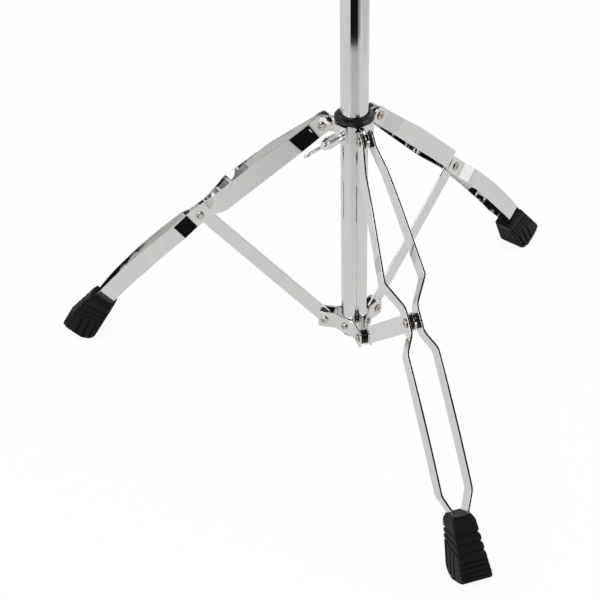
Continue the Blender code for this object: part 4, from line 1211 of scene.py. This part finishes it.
def makePost():
    low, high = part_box("upper_tube")
    body = tubeMesh(post["radius"], post["wall"], low.z, high.z, 80)
    addPiece("upperTube", body, "post", "chrome", ["upper_tube"], place=standPlace)
    seat = clampTop + stand["fitGap"]
    bore = post["radius"] + stand["fitGap"]
    outer = post["lockRadius"]
    top = seat + post["lockHeight"]
    lock = [
        (bore, seat),
        (outer - 0.9 * mm, seat),
        (outer, seat + 0.9 * mm),
        (outer, seat + 4 * mm),
        (outer - 0.6 * mm, seat + 4.6 * mm),
        (outer - 0.6 * mm, top - 4.6 * mm),
        (outer, top - 4 * mm),
        (outer, top - 0.9 * mm),
        (outer - 0.9 * mm, top),
        (bore, top),
    ]
    ring = turned(lock, 0.3 * mm, 192, shape=knurled)
    addPiece("memoryLock", ring, "lock_ring", "chrome", ["memory_lock"], place=standPlace)
    head = outer + stand["fitGap"]
    shank = post["lockShank"]
    headRadius = post["lockHead"]
    headTop = head + post["lockHeadHeight"]
    screw = turned(
        [
            (axis, bore),
            (shank, bore),
            (shank, head),
            (headRadius, head),
            (headRadius, headTop - 0.6 * mm),
            (headRadius - 1 * mm, headTop),
            (axis, headTop),
        ],
        0.3 * mm,
        40,
    )
    half = post["lockKey"] / 2
    corners = [(-half, -half), (half, -half), (half, half), (-half, half)]
    square = roundCorners(corners, 0.5 * mm, 3)
    key = softPrism(square, head + 1 * mm, head + post["lockKeyReach"], 0.5 * mm)
    place = outwards(post["lockScrewHeading"], seat + post["lockHeight"] / 2)
    whole = merged(screw, key)
    addPiece("lockScrew", whole, "lock_screw", "nickel", ["memory_lock_screw"], place=place)


# Tilter: its base, bolt and wing nut
tilter = {
    "socketRadius": 14 * mm,
    "socketDepth": 20 * mm,
    "socketCap": 6 * mm,
    "socketRim": 1 * mm,
    "socketRimHeight": 3 * mm,
    "aboveTube": 34 * mm,
    "tongue": 10 * mm,
    "cheek": 5 * mm,
    "cheekRoot": 3 * mm,
    "cheekEdge": 0.8 * mm,
    "round": 12 * mm,
    "arcSteps": 20,
    "boltHead": 5.6 * mm,
    "boltRecess": 0.45,
    "boltHeadLow": 2.4 * mm,
    "boltHeadHigh": 4 * mm,
    "boltEnd": 8 * mm,
    "nutLength": 10 * mm,
    "nutFlange": 0.6 * mm,
    "nutFlangeHeight": 3 * mm,
    "wingShift": 3 * mm,
}
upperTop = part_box("upper_tube")[1].z
tiltHeight = upperTop + tilter["aboveTube"]
tiltPlace = standPlace @ Matrix.Translation((0, 0, tiltHeight))
acrossStand = Matrix.Rotation(pi / 2, 4, "Z") @ Matrix.Rotation(pi / 2, 4, "X")


def cheekOutline(drop):
    radius = tilter["round"]
    steps = tilter["arcSteps"]
    points = [(-radius, -drop), (radius, -drop)]
    for i in range(steps + 1):
        angle = pi * i / steps
        points.append((radius * cos(angle), radius * sin(angle)))
    return points


def makeTilterBase():
    tubeTop = -tilter["aboveTube"]
    socketTop = tubeTop + tilter["socketCap"]
    socketLow = tubeTop - tilter["socketDepth"]
    radius = tilter["socketRadius"]
    rim = radius + tilter["socketRim"]
    bore = post["radius"] + stand["fitGap"]
    socket = turned(
        [
            (axis, socketTop),
            (radius - 1.5 * mm, socketTop),
            (radius, socketTop - 1.5 * mm),
            (radius, socketLow + tilter["socketRimHeight"] + 1 * mm),
            (rim, socketLow + tilter["socketRimHeight"]),
            (rim, socketLow),
            (bore, socketLow),
            (bore, tubeTop + stand["fitGap"]),
            (axis, tubeTop + stand["fitGap"]),
        ],
        0.5 * mm,
        80,
    )
    parts = [socket]
    inner = tilter["tongue"] / 2 + stand["fitGap"]
    outline = cheekOutline(tilter["cheekRoot"] - socketTop)
    for side in (1, -1):
        low, high = sorted((side * inner, side * (inner + tilter["cheek"])))
        parts.append(moved(softPrism(outline, low, high, tilter["cheekEdge"]), acrossStand))
    addPiece("tilterBase", merged(*parts), "post", "chrome", ["tilter_base"], place=tiltPlace)


def makeTilterBolt():
    face = tilter["tongue"] / 2 + tilter["cheek"] + 2 * stand["fitGap"]
    turn = tiltPlace @ Matrix.Rotation(pi / 2, 4, "Y")
    head = tilter["boltHead"]
    recess = head * tilter["boltRecess"]
    low = -face - tilter["boltHeadLow"]
    high = -face - tilter["boltHeadHigh"]
    end = face + tilter["boltEnd"]
    profile = [
        (axis, low),
        (recess, low),
        (recess, high),
        (head - 1 * mm, high),
        (head, high + 1 * mm),
        (head, -face),
        (wing["screw"], -face),
    ]
    profile += threadProfile(wing["screw"], -face + 0.6 * mm, end - 0.5 * mm)
    profile += [(wing["screw"] - 0.6 * mm, end), (axis, end)]
    bolt = turned(profile, 0.2 * mm, 40, 2)
    addPiece("tilterBolt", bolt, "post", "nickel", ["tilter_bolt"], place=turn)
    bore = wing["screw"] + stand["fitGap"]
    flange = wing["hub"] + tilter["nutFlange"]
    end = face + tilter["nutLength"]
    hub = turned(
        [
            (bore, face),
            (flange, face),
            (flange, face + tilter["nutFlangeHeight"]),
            (flange - 1 * mm, end),
            (bore, end),
        ],
        0.5 * mm,
        48,
    )
    nut = merged(hub, *wingBlades(face, tilter["wingShift"]))
    nodes = ["tilter_wing_nut"]
    addPiece("tilterWingNut", nut, "tilter_nut", "chrome", nodes, place=turn, finish=castChrome)


makeClamp()
makePost()
makeTilterBase()
makeTilterBolt()
print("post and tilter made")


# Nodes that keep their own shape get a finish
for node, slotName in (
    ("tilter_head", "chrome"),
    ("pad_plate", "black_paint"),
    ("pad_plate_screw_right", "nickel"),
    ("pad_plate_screw_left", "nickel"),
):
    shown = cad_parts[node]
    shown.data.materials.clear()
    shown.data.materials.append(finishes[slotName])


# Floor, light and camera. What polished metal mirrors is the floor, glowing for it as white paper
# with painted shade and painted light in it:
# "reach" is the distance from the tube, "aside" and "ahead" are taken from the front's heading,
# and a direction is aside divided by ahead.
studio = {
    "floorColour": (0.86, 0.86, 0.86),
    "floorRoughness": 0.9,
    "floorSize": 60,
    "floorGlow": 0.9,  # share of its own light in what the camera sees, the rest keeps the shadow
    "front": radians(196.2),  # clockwise from +Y
    "aheadLeast": 0.01,
    "light": 0.9,
    "roomInMetal": 0.007,
    "keyPower": 26,
    "keySize": 1.6,
    "keySpot": (-1.6, -1.4, 2.6),
    "fillSpot": (1.8, -0.6, 2.2),
    "fillShare": 0.5,
    "target": (0, 0, 0.2),
}
# Painted reflections for metal: the paper's glowing colour, painted shade (the dark part in front,
# the side shade, the shade, the stripe and the darker floor behind) and painted light (bright)
paper = {
    "colour": (0.72, 0.72, 0.71),
    "front": (0.852, 0.012),  # where an edge lies and how soft it is
    "back": (-1.3, 0.1),
    "behind": (0.20, 0.23, 0.27),
    "darkReflectionAcross": (-0.71, 0.41, 0.015),
    "sideShadeFrom": (0.88, 0.01),
    "sideShadeEnd": (0.95, 0.02),
    "sideShadeStrength": 0.4,
    "shadeFrom": (0.65, 0.5),
    "shadeAcross": (-0.62, 0.66, 0.3),
    "shade": 0.46,
    "stripe": (0.8, 1.4, 0.02),
    "stripeShade": 0.12,
    "bright": (1.6, 0.2),
    "brightShare": 0.45,
}


def rayKinds(paint):
    path = paint.add("ShaderNodeLightPath")
    seen = paint.out(path, "Is Camera Ray")
    mirrored = paint.out(path, "Is Glossy Ray")
    glass = paint.out(path, "Is Transmission Ray")
    return seen, mirrored.math("MAXIMUM", mirrored, glass)


# The paper's colour where metal mirrors it, with its painted shade and painted light, and the mask
# of the painted dark reflection, where the dark room's level shows in the paper's place
def mirroredPaper(paint):
    ground = paint.out(paint.add("ShaderNodeNewGeometry"), "Position")
    where = paint.add("ShaderNodeSeparateXYZ", values={"Vector": ground})
    east = paint.out(where, "X") - stand["x"]
    north = paint.out(where, "Y") - stand["y"]
    ahead = east * sin(studio["front"]) + north * cos(studio["front"])
    aside = north * sin(studio["front"]) - east * cos(studio["front"])
    reach = (ahead * ahead + aside * aside) ** 0.5
    direction = aside / ahead.math("MAXIMUM", ahead, studio["aheadLeast"])
    darkReflectionEnd = paper["darkReflectionAcross"][1]
    # painted dark reflection: in this part of the floor metal sees near black
    darkReflection = reach.above(*paper["front"]) * direction.between(*paper["darkReflectionAcross"])
    # painted shade beside the dark part, seen only in metal
    sideShadeMask = reach.above(*paper["sideShadeFrom"]) * direction.between(darkReflectionEnd, *paper["sideShadeEnd"])
    shade = reach.above(*paper["shadeFrom"]) * direction.between(*paper["shadeAcross"])
    stripe = aside.between(*paper["stripe"]) * paper["stripeShade"]
    shade = shade * paper["shade"] + sideShadeMask * paper["sideShadeStrength"] + stripe
    bright = aside.above(*paper["bright"]) * paper["brightShare"]
    twice = tuple(2 * part for part in paper["colour"])
    level = (bright - shade) * 0.5 + 0.5  # half is the paper's own colour, 1 is twice as bright
    colour = paint.mix(level, (0, 0, 0), twice)
    # far behind the stand the floor shows metal a darker colour, painted shade
    return paint.mix(ahead.above(*paper["back"]), paper["behind"], colour), darkReflection


def makeFloor():
    made, paint, feed = newMaterial("paleFloor")
    feed("Base Color", studio["floorColour"])
    feed("Roughness", studio["floorRoughness"])
    tree = made.node_tree
    seen, mirrored = rayKinds(paint)
    colour, darkReflection = mirroredPaper(paint)
    # to metal the floor glows with this painted reflection colour, not lit by any lamp
    glow = paint.mix(mirrored, (1, 1, 1), colour)
    # where the painted dark reflection lies, metal sees the room's near black level
    glow = paint.mix(darkReflection * mirrored, glow, (studio["roomInMetal"],) * 3)
    shine = paint.add("ShaderNodeEmission", values={"Color": glow, "Strength": 1.0})
    plain = tree.nodes["Principled BSDF"]
    mix = paint.add("ShaderNodeMixShader", values={"Fac": seen * studio["floorGlow"] + mirrored})
    tree.links.new(plain.outputs[0], mix.inputs[1])
    tree.links.new(shine.outputs[0], mix.inputs[2])
    tree.links.new(mix.outputs[0], tree.nodes["Material Output"].inputs[0])
    bm = bmesh.new()
    bmesh.ops.create_grid(bm, x_segments=2, y_segments=2, size=studio["floorSize"] / 2)
    mesh = bpy.data.meshes.new("floor")
    bm.to_mesh(mesh)
    bm.free()
    mesh.materials.append(made)
    floor = bpy.data.objects.new("floor", mesh)
    bpy.context.scene.collection.objects.link(floor)


# Soft boxes as polished metal sees them: heading and half width in degrees clockwise from +Y,
# lowest and highest height as parts of the unit direction, and brightness
softBoxes = (
    (140, 24, -0.25, 0.42, 1.1),
    (-95, 30, -0.05, 0.8, 1.1),
    (60, 22, 0.05, 0.7, 0.9),
    (-35, 12, 0.3, 0.8, 0.8),
)
backWall = {
    "heading": radians(10),
    "facing": (0.2, 0.1),
    "height": (-0.2, 0.65, 0.1),
    "brightness": 0.4,
    "sideSoft": 0.01,
    "topSoft": 0.03,
    "least": 1e-6,
}


def roomBrightness(paint):
    towards = paint.out(paint.add("ShaderNodeTexCoord"), "Generated")
    parts = paint.add("ShaderNodeSeparateXYZ", values={"Vector": towards})
    east = paint.out(parts, "X")
    north = paint.out(parts, "Y")
    up = paint.out(parts, "Z")
    flat = (east * east + north * north + backWall["least"]) ** 0.5

    def facing(heading):
        return (east * sin(heading) + north * cos(heading)) / flat

    wall = facing(backWall["heading"]).above(*backWall["facing"]) * up.between(*backWall["height"])
    level = wall * backWall["brightness"] + studio["roomInMetal"]
    for heading, half, low, high, bright in softBoxes:
        side = facing(radians(heading)).above(cos(radians(half)), backWall["sideSoft"])
        box = side * up.between(low, high, backWall["topSoft"])
        level = level.math("MAXIMUM", level, box * bright)
    return level


def makeWorld():
    world = bpy.data.worlds.new("studio")
    bpy.context.scene.world = world
    world.use_nodes = True
    tree = world.node_tree
    paint = Paint(tree)
    background = tree.nodes["Background"]
    seen, mirrored = rayKinds(paint)
    direct = seen + (1 - seen) * studio["light"]
    level = mirrored * roomBrightness(paint) + (1 - mirrored) * direct
    background.inputs["Color"].default_value = (1, 1, 1, 1)
    tree.links.new(level.socket, background.inputs["Strength"])


def addLamp(name, spot, power):
    data = bpy.data.lights.new(name, "AREA")
    data.shape = "DISK"
    data.size = studio["keySize"]
    data.energy = power
    lamp = bpy.data.objects.new(name, data)
    lamp.location = spot
    towards = Vector(studio["target"]) - Vector(spot)
    lamp.rotation_euler = towards.to_track_quat("-Z", "Y").to_euler()
    bpy.context.scene.collection.objects.link(lamp)


# The photo's camera: angles, focal length in pixels and place from the tube's foot
cameraView = {
    "turn": radians(16.21),
    "down": radians(37.65),
    "roll": radians(-1.82),
    "focalPixels": 1237.91,
    "imageWidth": 600,
    "sensor": 36,
    "fromTube": (-60.75 * mm, -1100.5 * mm),
    "height": 944.47 * mm,
    "clipEnd": 100,
}


def makeCamera():
    turn = Matrix.Rotation(-cameraView["turn"], 4, "Z")
    spot = standPlace @ turn @ Vector((*cameraView["fromTube"], cameraView["height"]))
    ahead = turn @ Vector((0, cos(cameraView["down"]), -sin(cameraView["down"])))
    right = turn @ Vector((1, 0, 0))
    up = right.cross(ahead)
    roll = cameraView["roll"]
    rolledRight = right * cos(roll) + up * sin(roll)
    rolledUp = up * cos(roll) - right * sin(roll)
    place = Matrix((rolledRight, rolledUp, -ahead)).transposed().to_4x4()
    place.translation = spot
    data = bpy.data.cameras.new("photoView")
    data.sensor_width = cameraView["sensor"]
    data.lens = cameraView["sensor"] * cameraView["focalPixels"] / cameraView["imageWidth"]
    data.clip_end = cameraView["clipEnd"]
    camera = bpy.data.objects.new("photoView", data)
    camera.matrix_world = place
    bpy.context.scene.collection.objects.link(camera)
    bpy.context.scene.camera = camera


makeFloor()
makeWorld()
addLamp("keyLight", studio["keySpot"], studio["keyPower"])
addLamp("fillLight", studio["fillSpot"], studio["keyPower"] * studio["fillShare"])
makeCamera()
bpy.context.scene.view_settings.view_transform = "Standard"
print("studio made")
